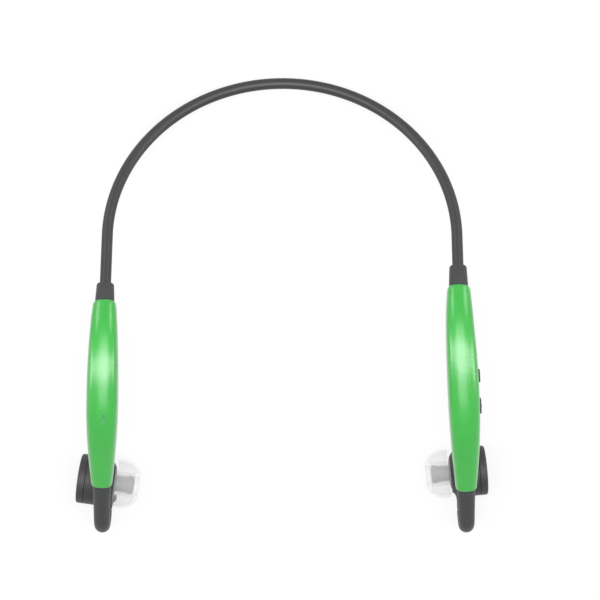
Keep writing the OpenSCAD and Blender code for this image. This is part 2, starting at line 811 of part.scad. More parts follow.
module pod_housing(side) {
    front_steps = 8;
    ledge = driver_back + driver_l;
    fronts = [for (k = [0 : front_steps])
        pod_shoulder + (nozzle_start - pod_shoulder) * sin(90 * k / front_steps)];
    color(dark_plastic) difference() {
        union() {
            pod_frame(side) turned(concat(
                [[0, cap_l], [pod_r, cap_l]],
                [for (along = fronts) [front_r(along, 0), along]],
                [[nozzle_r, nozzle_start], [nozzle_r, nozzle_end - 2.2],
                 [barb_r, nozzle_end - 1.6], [barb_r, nozzle_end - 0.9],
                 [nozzle_r, nozzle_end], [0, nozzle_end]]));
            collar(side);
        }
        pod_frame(side) turned([
            [0, cap_l - overrun], [driver_r + seat_gap, cap_l - overrun],
            [driver_r + seat_gap, ledge], [diaphragm_r + seat_gap, ledge],
            [diaphragm_r + seat_gap, pod_shoulder + 0.6],
            [bore_r, nozzle_start - 0.4], [bore_r, nozzle_end - 0.6],
            [bore_r + 0.4, nozzle_end - 0.6], [bore_r + 0.4, nozzle_end + overrun],
            [0, nozzle_end + overrun]]);
        arm_frame(side) at_station(side, curl_finish(side)) {
            translate([0, overrun, 0]) rotate([90, 0, 0])
                cylinder(h = overrun + stub_l + seat_gap, d = stub_d + 2 * slip);
        }
    }
}

// The short neck of the housing that takes the curled end
module collar(side) {
    place = station(side, curl_finish(side));
    pod_x = pod_span / 2 - band_r - lean(side, place[0]);
    to_axis = pod_back_y(side) - pod_x * tan(pod_yaw[side]) - arm_y[side] - place[0];
    arm_frame(side) at_station(side, curl_finish(side))
        translate([0, -face_gap, 0]) rotate([90, 0, 0])
            cylinder(h = to_axis - pod_r + 1.6, d = curl_end_w);
}

module pod_cap(side) {
    round_steps = 6;
    rim = [for (k = [0 : round_steps])
        let (angle = 90 * k / round_steps)
        [pod_r - cap_round + cap_round * sin(angle), cap_round - cap_round * cos(angle)]];
    color(dark_plastic) pod_frame(side) difference() {
        turned(concat([[0, 0]], rim,
            [[pod_r, cap_l - face_gap], [0, cap_l - face_gap]]));
        turned([[0, pod_wall], [driver_r - 1, pod_wall], [driver_r + seat_gap, pod_wall + 1],
                [driver_r + seat_gap, cap_l + overrun], [0, cap_l + overrun]]);
        if (side == right) translate([0, 0, -overrun])
            cylinder(h = pod_wall + 2 * overrun, r = call_r + key_gap);
    }
}

module driver(side) {
    back = driver_back;
    front = driver_back + driver_l - seat_gap;
    color(steel) pod_frame(side) turned([
        [0, back], [3.6, back], [3.6, back + 0.8], [5.2, back + 0.8], [driver_r - 0.9, back + 1.6],
        [driver_r, back + 1.6], [driver_r, front], [diaphragm_r - 0.2, front],
        [diaphragm_r - 0.2, front - 0.9], [4.4, front - 1.4], [3.2, front - 1.4],
        [3.2, front - 0.9], [0, front - 0.9]]);
}

// The diaphragm lies on the driver's rim: a dome inside a surround
module diaphragm(side) {
    base = driver_back + driver_l - seat_gap + slip;
    film = 0.15;
    steps = 10;
    function film_at(r) = base + 0.45 * (1 - pow(r / diaphragm_r, 2))
        + 0.25 * pow(sin(min(180, max(0, (r - 3.2) * 180 / (diaphragm_r - 3.2)))), 2);
    radii = [for (k = [0 : steps]) diaphragm_r * k / steps];
    color(dark_plastic) pod_frame(side) turned(concat(
        [for (r = radii) [r, film_at(r)]],
        [for (k = [steps : -1 : 0]) [radii[k], film_at(radii[k]) + film]]));
}

module nozzle_mesh(side) {
    color(steel) pod_frame(side) translate([0, 0, nozzle_end - 0.6 + slip])
        cylinder(h = 0.3, r = bore_r + 0.4 - slip);
}

module ear_tip(side) {
    sleeve_in = barb_r + tip_fit;
    sleeve_out = sleeve_in + 0.9;
    steps = 12;
    mouth_r = sleeve_in + 0.6;
    // The outer skin from the mouth over the crown to the skirt
    function skin(angle, inset) = [
        mouth_r + (tip_r - mouth_r) * sin(angle) - inset * sin(angle),
        tip_rim + 1.6 + (tip_end - tip_rim - 1.6 - inset) * cos(angle)];
    color(silicone) pod_frame(side) turned(concat(
        [[sleeve_in, nozzle_start + 0.1], [sleeve_in, tip_end - 0.3], [mouth_r, tip_end]],
        [for (k = [1 : steps]) skin(90 * k / steps, 0)],
        [[tip_r - 0.15, tip_rim], [tip_r - tip_wall + 0.1, tip_rim]],
        [for (k = [steps : -1 : 4]) skin(90 * k / steps, tip_wall)],
        [[sleeve_out, tip_end - 2.4], [sleeve_out, nozzle_start + 0.1]]));
}

// ---- Call key in the back of the right pod ----

call_plunger = pod_wall + 0.3 + 0.5 + call_travel + 0.1;

module call_key() {
    color(dark_rubber) pod_frame(right) turned([
        [0, -0.2], [call_r - 0.4, -0.15], [call_r, 0.2], [call_r, pod_wall + 0.3],
        [call_r + 0.7, pod_wall + 0.3], [call_r + 0.7, pod_wall + 0.8], [0, pod_wall + 0.8]]);
}

module call_switch() {
    board_back = driver_back - slip - 0.4;
    color(board_green) pod_frame(right) turned([
        [0, call_plunger], [0.8, call_plunger], [0.8, board_back - 0.3], [2, board_back - 0.3],
        [2, board_back], [driver_r - 0.3, board_back], [driver_r - 0.3, board_back + 0.4],
        [0, board_back + 0.4]]);
}

neckband_jacket();
neckband_core_wire();
neckband_leads();
sleeve(right);  // right_sleeve
sleeve(left);  // left_sleeve
arm_top(right);  // right_arm_top
arm_top(left);  // left_arm_top
arm_base(right);  // right_arm_base
arm_base(left);  // left_arm_base
arm_screws(right);  // right_arm_screws
arm_screws(left);  // left_arm_screws
curl(right);  // right_curl
curl(left);  // left_curl
pod_housing(right);  // right_pod_housing
pod_housing(left);  // left_pod_housing
pod_cap(right);  // right_pod_cap
pod_cap(left);  // left_pod_cap
driver(right);  // right_driver
driver(left);  // left_driver
diaphragm(right);  // right_diaphragm
diaphragm(left);  // left_diaphragm
nozzle_mesh(right);  // right_nozzle_mesh
nozzle_mesh(left);  // left_nozzle_mesh
ear_tip(right);  // right_ear_tip
ear_tip(left);  // left_ear_tip
main_board();
key_switches();
side_key(0);  // rear_key
side_key(1);  // front_key
charging_socket();
socket_cover();
microphone();
battery_cell();
light_board();
light_pipe();
call_key();
call_switch();
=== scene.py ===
# %% [markdown]
# # The looks of a behind-the-neck headset
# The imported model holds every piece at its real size. Here the outer pieces get
# smooth skins, worked out with numpy from the same measures, and every piece gets
# a material that says what it is made of and how. Lengths are in millimetres until
# the last step of each piece, where they turn into Blender's metres.

# %% Load the frame
import math

import bpy
import numpy as np
from mathutils import Matrix, Vector


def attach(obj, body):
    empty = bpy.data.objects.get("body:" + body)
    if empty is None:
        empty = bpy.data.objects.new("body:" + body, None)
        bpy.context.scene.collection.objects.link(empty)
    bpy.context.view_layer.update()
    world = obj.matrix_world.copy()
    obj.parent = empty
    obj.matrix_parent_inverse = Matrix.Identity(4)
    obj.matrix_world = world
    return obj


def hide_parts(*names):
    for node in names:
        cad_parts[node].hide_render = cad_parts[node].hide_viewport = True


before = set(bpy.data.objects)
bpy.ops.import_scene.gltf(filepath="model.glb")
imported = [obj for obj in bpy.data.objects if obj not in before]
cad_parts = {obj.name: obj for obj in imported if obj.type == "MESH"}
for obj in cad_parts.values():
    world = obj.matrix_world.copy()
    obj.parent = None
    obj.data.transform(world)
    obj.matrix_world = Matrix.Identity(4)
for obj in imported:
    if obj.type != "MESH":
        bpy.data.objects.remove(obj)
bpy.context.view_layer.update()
MM = 0.001
RIGHT, LEFT = 0, 1
SIDES = ("right", "left")
MIRROR = (-1, 1)        # x grows towards the left side

# %% [markdown]
# ## Camera
# The headset lies on a table and the camera hangs straight over it, more than
# three quarters of a metre up. A far camera with a long lens keeps both arms from
# leaning outwards, as a catalogue picture does.

# %% Camera over the table
FRAME_W = 201.6        # width that the picture covers at the pivot's height
CAMERA_UP = 800.0      # height of the camera over the pivot
SENSOR = 36.0
PIVOT = (5.9, 1.25, 12.0)


def in_scene(name, data):
    """A new object with that data, linked into the scene."""
    made = bpy.data.objects.new(name, data)
    bpy.context.scene.collection.objects.link(made)
    return made


camera = in_scene("camera", bpy.data.cameras.new("camera"))
bpy.context.scene.camera = camera
camera.data.sensor_width = SENSOR
camera.data.lens = SENSOR * CAMERA_UP / FRAME_W
camera.data.clip_start, camera.data.clip_end = 0.05, 20.0
camera.location = (PIVOT[0] * MM, PIVOT[1] * MM, (PIVOT[2] + CAMERA_UP) * MM)
print("lens", round(camera.data.lens, 1), "mm")

# %% [markdown]
# ## Colours and nodes
# Colours are written as sRGB hex, the way a paint chart lists them, and turned to
# the linear values that the shader works in. One small function adds a node: a
# plain value goes into the socket of that name, and a socket is linked to it.

# %% Colour and node helpers
def rgba(code):
    """sRGB hex to linear: each channel over 0.04045 follows ((c + 0.055) / 1.055) ** 2.4."""
    srgb = np.array([int(code[i:i + 2], 16) for i in (1, 3, 5)]) / 255
    linear = np.where(srgb > 0.04045, ((srgb + 0.055) / 1.055) ** 2.4, srgb / 12.92)
    return (*linear.tolist(), 1.0)


def add(nodes, kind, inputs=None, **settings):
    """Adds a node. settings are its properties, inputs its sockets: a value or a link."""
    made = nodes.new(kind)
    for name, value in settings.items():
        setattr(made, name, value)
    for name, value in (inputs or {}).items():
        if isinstance(value, bpy.types.NodeSocket):
            nodes.id_data.links.new(value, made.inputs[name])
        else:
            made.inputs[name].default_value = value
    return made


def new_material(name):
    """An empty node material, its nodes, and the object's own coordinates."""
    material = bpy.data.materials.new(name)
    material.use_nodes = True
    nodes = material.node_tree.nodes
    nodes.clear()
    return material, nodes, add(nodes, "ShaderNodeTexCoord").outputs["Object"]


def finished(material, shader):
    """Links the shader to the material's output and gives the material back."""
    add(material.node_tree.nodes, "ShaderNodeOutputMaterial", {"Surface": shader.outputs[0]})
    return material


def per(size_mm):
    """Scale that gives a pattern on Object coordinates one repeat in size_mm."""
    return 1000.0 / size_mm


def two_tones(nodes, factor, low, high):
    """Blends two sRGB colours by a factor."""
    return add(nodes, "ShaderNodeMix", {0: factor, 6: rgba(low), 7: rgba(high)},
               data_type="RGBA").outputs[2]


def surfaced(material, tones, rough, relief, sockets):
    """Colour, roughness and relief each follow a pattern. tones is the pattern and two
    hex colours, rough the pattern and its range, relief the pattern, its strength and
    its depth in millimetres. sockets holds what is the same all over."""
    nodes = material.node_tree.nodes
    bump = add(nodes, "ShaderNodeBump",
               {"Height": relief[0], "Strength": relief[1], "Distance": relief[2] * MM})
    spread = add(nodes, "ShaderNodeMapRange",
                 {"Value": rough[0], "To Min": rough[1], "To Max": rough[2]})
    return finished(material, add(nodes, "ShaderNodeBsdfPrincipled", {
        "Base Color": two_tones(nodes, *tones), "Roughness": spread.outputs[0],
        "Normal": bump.outputs[0], **sockets}))


print("#20ac30 is", [round(c, 3) for c in rgba("#20ac30")])

# %% [markdown]
# ## Glossy moulded ABS
# The upper shells are ABS in a polished mould: the pigment goes all through, the
# skin is smooth, and only a slow ripple from uneven cooling disturbs the shine.
# The pigment is never stirred in quite evenly, which a wide, faint cloud of two
# close greens gives.

# %% Green shells
def polished_abs_green():
    """Two close greens in a 14 mm cloud with faint 0.4 mm specks, under a clear skin with
    a 5 mm cooling ripple."""
    material, nodes, place = new_material("polished_abs_green")
    cloud = add(nodes, "ShaderNodeTexNoise",
                {"Vector": place, "Scale": per(14), "Detail": 3.0}).outputs["Fac"]
    speck = add(nodes, "ShaderNodeTexNoise",
                {"Vector": place, "Scale": per(0.4), "Detail": 2.0}).outputs["Fac"]
    faint = add(nodes, "ShaderNodeMath", {0: speck, 1: 0.2}, operation="MULTIPLY").outputs[0]
    depth = add(nodes, "ShaderNodeMath", {0: cloud, 1: 0.8, 2: faint},
                operation="MULTIPLY_ADD").outputs[0]
    ripple = add(nodes, "ShaderNodeTexNoise",
                 {"Vector": place, "Scale": per(5), "Detail": 1.0}).outputs["Fac"]
    return surfaced(
        material, (depth, "#129823", "#20ac30"), (cloud, 0.25, 0.31), (ripple, 0.04, 0.3),
        {"IOR": 1.54, "Coat Weight": 0.9, "Coat Roughness": 0.23, "Coat IOR": 1.5})


GREEN = polished_abs_green()
print(GREEN.name)

# %% [markdown]
# ## Spark-eroded dark ABS
# The lower shells and the pods come from a mould whose walls were roughened by
# sparks. That leaves a fine, even grain of about a quarter of a millimetre and a
# dull charcoal skin, which is how such housings hide fingerprints.

# %% Dark housings
def spark_eroded_abs():
    """Charcoal, with a 0.25 mm grain in height and roughness and a 9 mm tone cloud."""
    material, nodes, place = new_material("spark_eroded_abs_charcoal")
    grain = add(nodes, "ShaderNodeTexNoise",
                {"Vector": place, "Scale": per(0.25), "Detail": 2.0}).outputs["Fac"]
    cloud = add(nodes, "ShaderNodeTexNoise",
                {"Vector": place, "Scale": per(9), "Detail": 3.0}).outputs["Fac"]
    return surfaced(material, (cloud, "#202022", "#29292b"), (grain, 0.44, 0.62),
                    (grain, 0.35, 0.03), {"IOR": 1.54})


CHARCOAL = spark_eroded_abs()
print(CHARCOAL.name)

# %% [markdown]
# ## Soft-touch rubber
# The sleeves, the curled ends, the keys and the socket's cover are a soft
# thermoplastic rubber. It has no polish: light spreads over it in a wide, weak
# sheen that is a little brighter where it curves away, like the bloom on a grape.

# %% Sleeves, curled ends and keys
def moulded_soft_rubber():
    """Dark grey and dull, with a 0.12 mm grain, a velvety rim and a 6 mm bloom."""
    material, nodes, place = new_material("moulded_thermoplastic_rubber")
    grain = add(nodes, "ShaderNodeTexNoise",
                {"Vector": place, "Scale": per(0.12), "Detail": 2.0}).outputs["Fac"]
    bloom = add(nodes, "ShaderNodeTexNoise",
                {"Vector": place, "Scale": per(6), "Detail": 4.0}).outputs["Fac"]
    return surfaced(material, (bloom, "#29292b", "#323234"), (bloom, 0.52, 0.66),
                    (grain, 0.25, 0.02),
                    {"IOR": 1.5, "Sheen Weight": 0.12, "Sheen Roughness": 0.4})


RUBBER = moulded_soft_rubber()
print(RUBBER.name)

# %% [markdown]
# ## Extruded jacket
# The neckband's jacket is pulled through a round die, so its marks all run along
# it: faint lines a few tenths of a millimetre apart that go on for centimetres.
# The pattern therefore reads the piece's own UV map, which counts metres along
# the band and metres round it.

# %% Neckband jacket
def extruded_jacket():
    """Dark grey with lines along U that change every 0.35 mm round and 30 mm along."""
    material, nodes, place = new_material("extruded_elastomer_jacket")
    uv = add(nodes, "ShaderNodeTexCoord").outputs["UV"]
    drawn = add(nodes, "ShaderNodeMapping",
                {"Vector": uv, "Scale": (per(30), per(0.35), 1.0)})
    lines = add(nodes, "ShaderNodeTexNoise",
                {"Vector": drawn.outputs[0], "Scale": 1.0, "Detail": 3.0}).outputs["Fac"]
    cloud = add(nodes, "ShaderNodeTexNoise",
                {"Vector": place, "Scale": per(20), "Detail": 2.0}).outputs["Fac"]
    return surfaced(material, (cloud, "#232325", "#2c2c2e"), (lines, 0.34, 0.50),
                    (lines, 0.3, 0.04), {"IOR": 1.5})


JACKET = extruded_jacket()
print(JACKET.name)

# %% [markdown]
# ## Liquid silicone
# Ear tips are injected liquid silicone. A wall of it less than a millimetre thick
# is a milky veil: it bends light too little to see, and hides a little of what is
# behind it. So the shader covers only a seventh of each surface. The nozzle shows
# as a grey shadow, and where the dome folds over the sleeve the veils add up.

# %% Ear tips
def liquid_silicone():
    """Near white that covers 14 % of each surface, with a 4 mm haze and a thin shine."""
    material, nodes, place = new_material("injected_liquid_silicone")
    haze = add(nodes, "ShaderNodeTexNoise",
               {"Vector": place, "Scale": per(4), "Detail": 3.0}).outputs["Fac"]
    return surfaced(
        material, (haze, "#f3f3f4", "#f9f9f9"), (haze, 0.40, 0.50), (haze, 0.1, 0.1),
        {"IOR": 1.41, "Alpha": 0.14, "Coat Weight": 0.3, "Coat Roughness": 0.3})


SILICONE = liquid_silicone()
print(SILICONE.name)

# %% [markdown]
# ## Metals and boards inside
# Screws, spring wire, sockets and drivers are plated or drawn steel, the leads are
# bare copper strands, and the boards are glass laminate under solder mask. Each
# finish is one pattern with a size of its own.

# %% Metals, boards and films
def streaked_metal(name, low, high, streak_mm, rough):
    """A metal whose tone and roughness follow streaks of streak_mm, six times as long."""
    material, nodes, place = new_material(name)
    drawn = add(nodes, "ShaderNodeMapping", {"Vector": place, "Scale": (1.0, 1 / 6, 1.0)})
    streak = add(nodes, "ShaderNodeTexNoise", {
        "Vector": drawn.outputs[0], "Scale": per(streak_mm), "Detail": 2.0}).outputs["Fac"]
    return surfaced(material, (streak, low, high), (streak, rough, rough + 0.14),
                    (streak, 0.2, 0.01), {"Metallic": 1.0})


def speckled_solid(name, low, high, speck_mm, rough):
    """A dull solid whose tone, height and roughness follow specks of speck_mm."""
    material, nodes, place = new_material(name)
    speck = add(nodes, "ShaderNodeTexNoise",
                {"Vector": place, "Scale": per(speck_mm), "Detail": 3.0}).outputs["Fac"]
    return surfaced(material, (speck, low, high), (speck, rough, rough + 0.15),
                    (speck, 0.2, 0.02), {"IOR": 1.5})


def woven_mesh():
    """Two crossed waves, dark between the wires. Blender's wave repeats every pi / 10 over
    its scale, so these wires are 0.5 mm apart, which is coarser than a real mesh."""
    material, nodes, place = new_material("woven_stainless_mesh")
    waves = [add(nodes, "ShaderNodeTexWave", {"Vector": place, "Scale": per(0.25) / 6.28},
                 bands_direction=axis).outputs["Fac"] for axis in ("Y", "Z")]
    wire = add(nodes, "ShaderNodeMath", {0: waves[0], 1: waves[1]}, operation="MAXIMUM")
    bump = add(nodes, "ShaderNodeBump",
               {"Height": wire.outputs[0], "Strength": 0.6, "Distance": 0.06 * MM}).outputs[0]
    shader = add(nodes, "ShaderNodeBsdfPrincipled", {
        "Base Color": two_tones(nodes, wire.outputs[0], "#1c1c1e", "#9a9ca0"),
        "Metallic": 0.8, "Roughness": 0.38, "Normal": bump})
    return finished(material, shader)


STEEL = streaked_metal("drawn_spring_steel", "#a8abaf", "#c6c9cd", 0.3, 0.28)
NICKEL = streaked_metal("nickel_plated_steel", "#b6b4ae", "#d2d0ca", 0.5, 0.22)
COPPER = streaked_metal("stranded_copper", "#a8622c", "#c98046", 0.15, 0.30)
BOARD = speckled_solid("solder_masked_laminate", "#185a30", "#23743f", 0.5, 0.32)
SWITCH = speckled_solid("moulded_nylon_black", "#1e1e20", "#29292b", 0.3, 0.45)
FILM = speckled_solid("formed_polymer_film", "#323236", "#424248", 0.6, 0.35)
POUCH = speckled_solid("laminated_foil_pouch", "#b9bcc0", "#d4d6da", 2.0, 0.30)
MESH = woven_mesh()
INSIDE = {
    "neckband_core_wire": STEEL, "neckband_leads": COPPER,
    "right_arm_screws": NICKEL, "left_arm_screws": NICKEL,
    "right_driver": NICKEL, "left_driver": NICKEL,
    "right_diaphragm": FILM, "left_diaphragm": FILM,
    "right_nozzle_mesh": MESH, "left_nozzle_mesh": MESH,
    "main_board": BOARD, "key_switches": SWITCH, "charging_socket": NICKEL,
    "microphone": NICKEL, "battery_cell": POUCH, "light_board": BOARD,
    "call_switch": BOARD}
for node, material in INSIDE.items():
    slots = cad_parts[node].data.materials
    slots.clear()
    slots.append(material)
print(len(INSIDE), "nodes keep their CAD shape")

# %% [markdown]
# ## From a grid of points to a piece
# Every skin below is a grid of points: one direction runs along the piece, the
# other runs round it. A grid becomes a mesh by joining each point to the next one
# along and the next one round. A closed skin encloses a volume, and its sign tells
# whether the faces look outwards, so that the function can turn them.

# %% Grid to mesh
CREASE = math.radians(40)


def skin(name, grid, body, material, nodes, wrap=(False, True), uv=None):
    """Faces (i, j), (i, j+1), (i+1, j+1), (i+1, j); wrap closes rows, columns; open
    ends get one face each. Volume is the sum of a . (b x c) / 6 over all triangles."""
    rows, cols = grid.shape[:2]
    i, j = np.meshgrid(np.arange(rows if wrap[0] else rows - 1),
                       np.arange(cols if wrap[1] else cols - 1), indexing="ij")
    corner = [(i, j), (i, j + 1), (i + 1, j + 1), (i + 1, j)]
    quads = np.stack([(a % rows) * cols + b % cols for a, b in corner], -1).reshape(-1, 4)
    points = grid.reshape(-1, 3)
    a, b, c, d = (points[quads[:, k]] for k in range(4))
    volume = (np.einsum("ij,ij->i", a, np.cross(b, c)) +
              np.einsum("ij,ij->i", a, np.cross(c, d))).sum() / 6
    ends = [] if wrap[0] else [np.arange(cols)[::-1], (rows - 1) * cols + np.arange(cols)]
    for ring in ends:
        p = points[ring]
        volume += np.einsum("ij,ij->i", np.broadcast_to(p[0], p[1:-1].shape),
                            np.cross(p[1:-1], p[2:])).sum() / 6
    turn = 1 if volume > 0 else -1
    faces = quads[:, ::turn].tolist() + [ring[::turn].tolist() for ring in ends]
    mesh = bpy.data.meshes.new(name)
    mesh.from_pydata(points * MM, [], faces)
    if uv is not None:
        along, round_ = (np.append(v, v[-1] + (v[-1] - v[-2])) for v in uv)
        flat = np.stack([np.stack([along[a], round_[b]], -1) for a, b in corner], -2)
        flat = flat.reshape(-1, 4, 2)[:, ::turn].reshape(-1, 2) * MM
        layer = mesh.uv_layers.new(name="length_and_girth")
        whole = np.zeros((len(mesh.loops), 2))
        whole[:len(flat)] = flat
        layer.data.foreach_set("uv", whole.ravel())
    mesh.shade_smooth()
    mesh.set_sharp_from_angle(angle=CREASE)
    mesh.materials.append(material)
    piece = in_scene(name, mesh)
    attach(piece, body)
    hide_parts(*nodes)
    print(f"{name}: {len(faces)} faces, {abs(volume):.1f} mm3")


def full_turn(steps):
    """That many angles, evenly round a whole turn."""
    return np.linspace(0, 2 * math.pi, steps, endpoint=False)


def rounded(profile, radius, steps=5, closed=False):
    """Each corner p of an outline becomes the curve (1-t)^2 a + 2t(1-t) p + t^2 b, where
    a and b lie radius before and after it, or 45 % along a shorter edge."""
    p = np.asarray(profile, float)
    back, ahead = np.roll(p, 1, 0) - p, np.roll(p, -1, 0) - p
    size = np.broadcast_to(np.asarray(radius, float), len(p)).copy()
    if not closed:
        size[[0, -1]] = 0
    lengths = [np.linalg.norm(v, axis=1) for v in (back, ahead)]
    cut = np.minimum(size, 0.45 * np.minimum(*lengths))[:, None]
    a, b = (p + v / n[:, None] * cut for v, n in zip((back, ahead), lengths))
    t = np.linspace(0, 1, steps)[None, :, None]
    curve = (1 - t) ** 2 * a[:, None] + 2 * t * (1 - t) * p[:, None] + t * t * b[:, None]
    flat = curve.reshape(-1, 2)
    keep = np.linalg.norm(flat - np.roll(flat, 1, 0), axis=1) > 1e-6
    return flat[keep]


print("a rounded square has", len(rounded([[0, 0], [1, 0], [1, 1], [0, 1]], 0.2,
                                          closed=True)), "points")

# %% [markdown]
# ## Neckband
# The band is half a ring with two straight legs, all in one plane that climbs 25
# degrees from the table. Its skin is a circle carried along that path: at each
# place the circle spans the direction away from the ring's middle and the plane's
# upward normal.

# %% Neckband's path and jacket
DEPTH, BAND_D, BAND_R = 153.5, 3.7, 57.7
SLOPE = math.radians(25)
APEX = np.array([0.0, DEPTH / 2 - BAND_D / 2, BAND_D / 2])
ARM_Y = (0.3, 5.2)
REAR_PLUG, FACE_GAP = 4.5, 0.1
LEG_END = [(y - APEX[1]) / math.cos(SLOPE) for y in ARM_Y]


def on_band_plane(x, v, c):
    """Plane coordinates (x, v back, c up) to the frame, turned by the slope about X."""
    return np.stack([x + 0 * v, APEX[1] + v * math.cos(SLOPE) + c * math.sin(SLOPE),
                     APEX[2] - v * math.sin(SLOPE) + c * math.cos(SLOPE)], -1)


def band_path(past_end, step=1.0):
    """Right leg, half ring, left leg: middle x, v, the outward direction, and length."""
    legs = [past_end - end - BAND_R for end in LEG_END]
    half_ring = math.pi * BAND_R
    total = legs[RIGHT] + half_ring + legs[LEFT]
    s = np.linspace(0, total, int(total / step))
    turn = np.clip((s - legs[RIGHT]) / half_ring, 0, 1) * math.pi
    leg_v = np.where(turn <= 0, -(legs[RIGHT] - s), 0) - np.where(
        turn >= math.pi, s - legs[RIGHT] - half_ring, 0)
    out = np.stack([-np.cos(turn), np.sin(turn)], -1)
    return out[:, 0] * BAND_R, out[:, 1] * BAND_R - BAND_R + leg_v, out, s


x, v, out, along = band_path(REAR_PLUG - FACE_GAP)
angle = full_turn(48)
radius = BAND_D / 2
sideways, up = radius * np.cos(angle), radius * np.sin(angle)
grid = on_band_plane(x[:, None] + out[:, :1] * sideways, v[:, None] + out[:, 1:] * sideways,
                     up[None, :] + 0 * x[:, None])
skin("neckband_skin", grid, "headset", JACKET, ["neckband_jacket"],
     uv=(along, angle * radius))
print("band length", round(float(along[-1]), 1), "mm")

# %% [markdown]
# ## Sleeves
# Each sleeve is a short tapered tube that keeps the band from kinking where it
# enters the arm. It is a turned outline: a profile of radius against length, swept
# round the band's leg, with its mouth and shoulder slightly rounded.

# %% Sleeves
SLEEVE_L = (6.5, 7.5)
SLEEVE_BORE, SLEEVE_MOUTH, SLEEVE_SHOULDER, SLEEVE_PLUG = 1.9, 2.85, 3.2, 2.35


def turned_on_leg(side, profile, steps=64):
    """Radius r, length l from the mouth: x = R + r cos, v = end + sleeve - l, c = r sin."""
    r, length = np.asarray(profile).T[:, :, None]
    around = full_turn(steps)[None, :]
    grid = on_band_plane(BAND_R + r * np.cos(around),
                         LEG_END[side] + SLEEVE_L[side] - length + 0 * around,
                         r * np.sin(around))
    return grid * [MIRROR[side], 1, 1]


for side, which in enumerate(SIDES):
    face = SLEEVE_L[side] - FACE_GAP
    outline = rounded([[SLEEVE_BORE, 0], [SLEEVE_MOUTH, 0], [SLEEVE_SHOULDER, face],
                       [SLEEVE_PLUG, face], [SLEEVE_PLUG, face + REAR_PLUG],
                       [SLEEVE_BORE, face + REAR_PLUG]],
                      [0.3, 0.3, 0.35, 0.1, 0.2, 0.2], closed=True)
    skin(f"{which}_sleeve_skin", turned_on_leg(side, outline), "headset", RUBBER,
         [f"{which}_sleeve"], wrap=(True, True))

# %% [markdown]
# ## The line of an arm
# Seen from the side, an arm is a straight end, an arc up to the crest, a longer arc
# down, a straight dive and at last the tight curl that turns back to the pod. The
# arcs share their tangents, so the line has no kink. Seen from above, its plug runs
# straight ahead, then the arm bends outwards, over 40 mm on the right and 12 mm on
# the left, and runs straight on. Every skin on the arm uses these functions.

# %% Arm line
CREST_Y, DIVE, ARM_L = (-19.7, -15.6), np.radians([33, 31]), (64.5, 70.2)
SPLAY, SPLAY_BEND = (2.4, 3.7), (40.0, 12.0)
CURL_R, CURL_T, POD_R = 4.8, 5.2, 8.3


def arm_line(side):
    """Crest, radii, lengths and curl centre of one arm, in the plane it runs in."""
    arm_z = APEX[2] - LEG_END[side] * math.sin(SLOPE)
    end = REAR_PLUG * np.array([-math.cos(SLOPE), math.sin(SLOPE)])
    rear_r = (ARM_Y[side] - CREST_Y[side] + end[0]) / math.sin(SLOPE)
    crest = np.array([CREST_Y[side] - ARM_Y[side], end[1] + rear_r * (1 - math.cos(SLOPE))])
    curl = np.array([-DEPTH / 2 + CURL_T / 2 + CURL_R - ARM_Y[side], POD_R + CURL_R - arm_z])
    dive = DIVE[side]
    normal = np.array([-math.sin(dive), math.cos(dive)])
    front_r = (CURL_R + normal @ (curl - crest)) / (1 - math.cos(dive))
    dive_from = crest + front_r * np.array([-math.sin(dive), math.cos(dive) - 1])
    dive_l = np.linalg.norm(curl + CURL_R * normal - dive_from)
    rear_l = REAR_PLUG + rear_r * SLOPE
    front_l = front_r * dive
    start = rear_l + front_l + dive_l
    return dict(z=arm_z, rear_r=rear_r, crest=crest, curl=curl, front_r=front_r,
                dive_from=dive_from, rear_l=rear_l, dive_at=rear_l + front_l,
                curl_at=start, finish=start + CURL_R * (math.pi - dive))


LINES = [arm_line(side) for side in (RIGHT, LEFT)]
LEAN = [math.atan(out / (-line["curl"][0] - REAR_PLUG - bend / 2))
        for out, line, bend in zip(SPLAY, LINES, SPLAY_BEND)]


def station(side, u):
    """Place (y, z) and slope at length u: end, rear arc, front arc, dive, then curl."""
    k, dive = LINES[side], DIVE[side]
    u = np.asarray(u, float)
    on_arc = np.where(u < k["rear_l"], SLOPE - (u - REAR_PLUG) / k["rear_r"],
                      -(u - k["rear_l"]) / k["front_r"])
    turn = -dive - (u - k["curl_at"]) / CURL_R
    cases = [u < REAR_PLUG, u < k["dive_at"], u < k["curl_at"]]
    slope = np.select(cases, [SLOPE, on_arc, -dive + 0 * u], turn)
    radius = np.where(u < k["rear_l"], k["rear_r"], k["front_r"])
    run = u - k["dive_at"]
    y = np.select(cases, [-u * math.cos(SLOPE), k["crest"][0] + radius * np.sin(on_arc),
                          k["dive_from"][0] - run * math.cos(dive)],
                  k["curl"][0] + CURL_R * np.sin(turn))
    z = np.select(cases, [u * math.sin(SLOPE), k["crest"][1] - radius * (1 - np.cos(on_arc)),
                          k["dive_from"][1] - run * math.sin(dive)],
                  k["curl"][1] + CURL_R * np.cos(turn))
    return y, z, slope


def beside(side, u, x, n):
    """A point x sideways and n along the upward normal of the line at length u."""
    u, x, n = np.broadcast_arrays(u, x, n)
    y, z, slope = station(side, u)
    run, bend = -y - REAR_PLUG, SPLAY_BEND[side]
    angle = LEAN[side] * np.clip(run / bend, 0, 1)
    lean = math.tan(LEAN[side]) * np.select(
        [run < 0, run < bend], [0 * run, run * run / bend / 2], run - bend / 2)
    across = n * np.sin(slope)
    return np.stack([
        MIRROR[side] * (BAND_R + lean + x * np.cos(angle) - across * np.sin(angle)),
        ARM_Y[side] + y + x * np.sin(angle) + across * np.cos(angle),
        LINES[side]["z"] + z + n * np.cos(slope)], -1)


for side, which in enumerate(SIDES):
    print(which, "arm crest at z",
          round(float(beside(side, LINES[side]["rear_l"], 0.0, 0.0)[2]), 2), "mm")

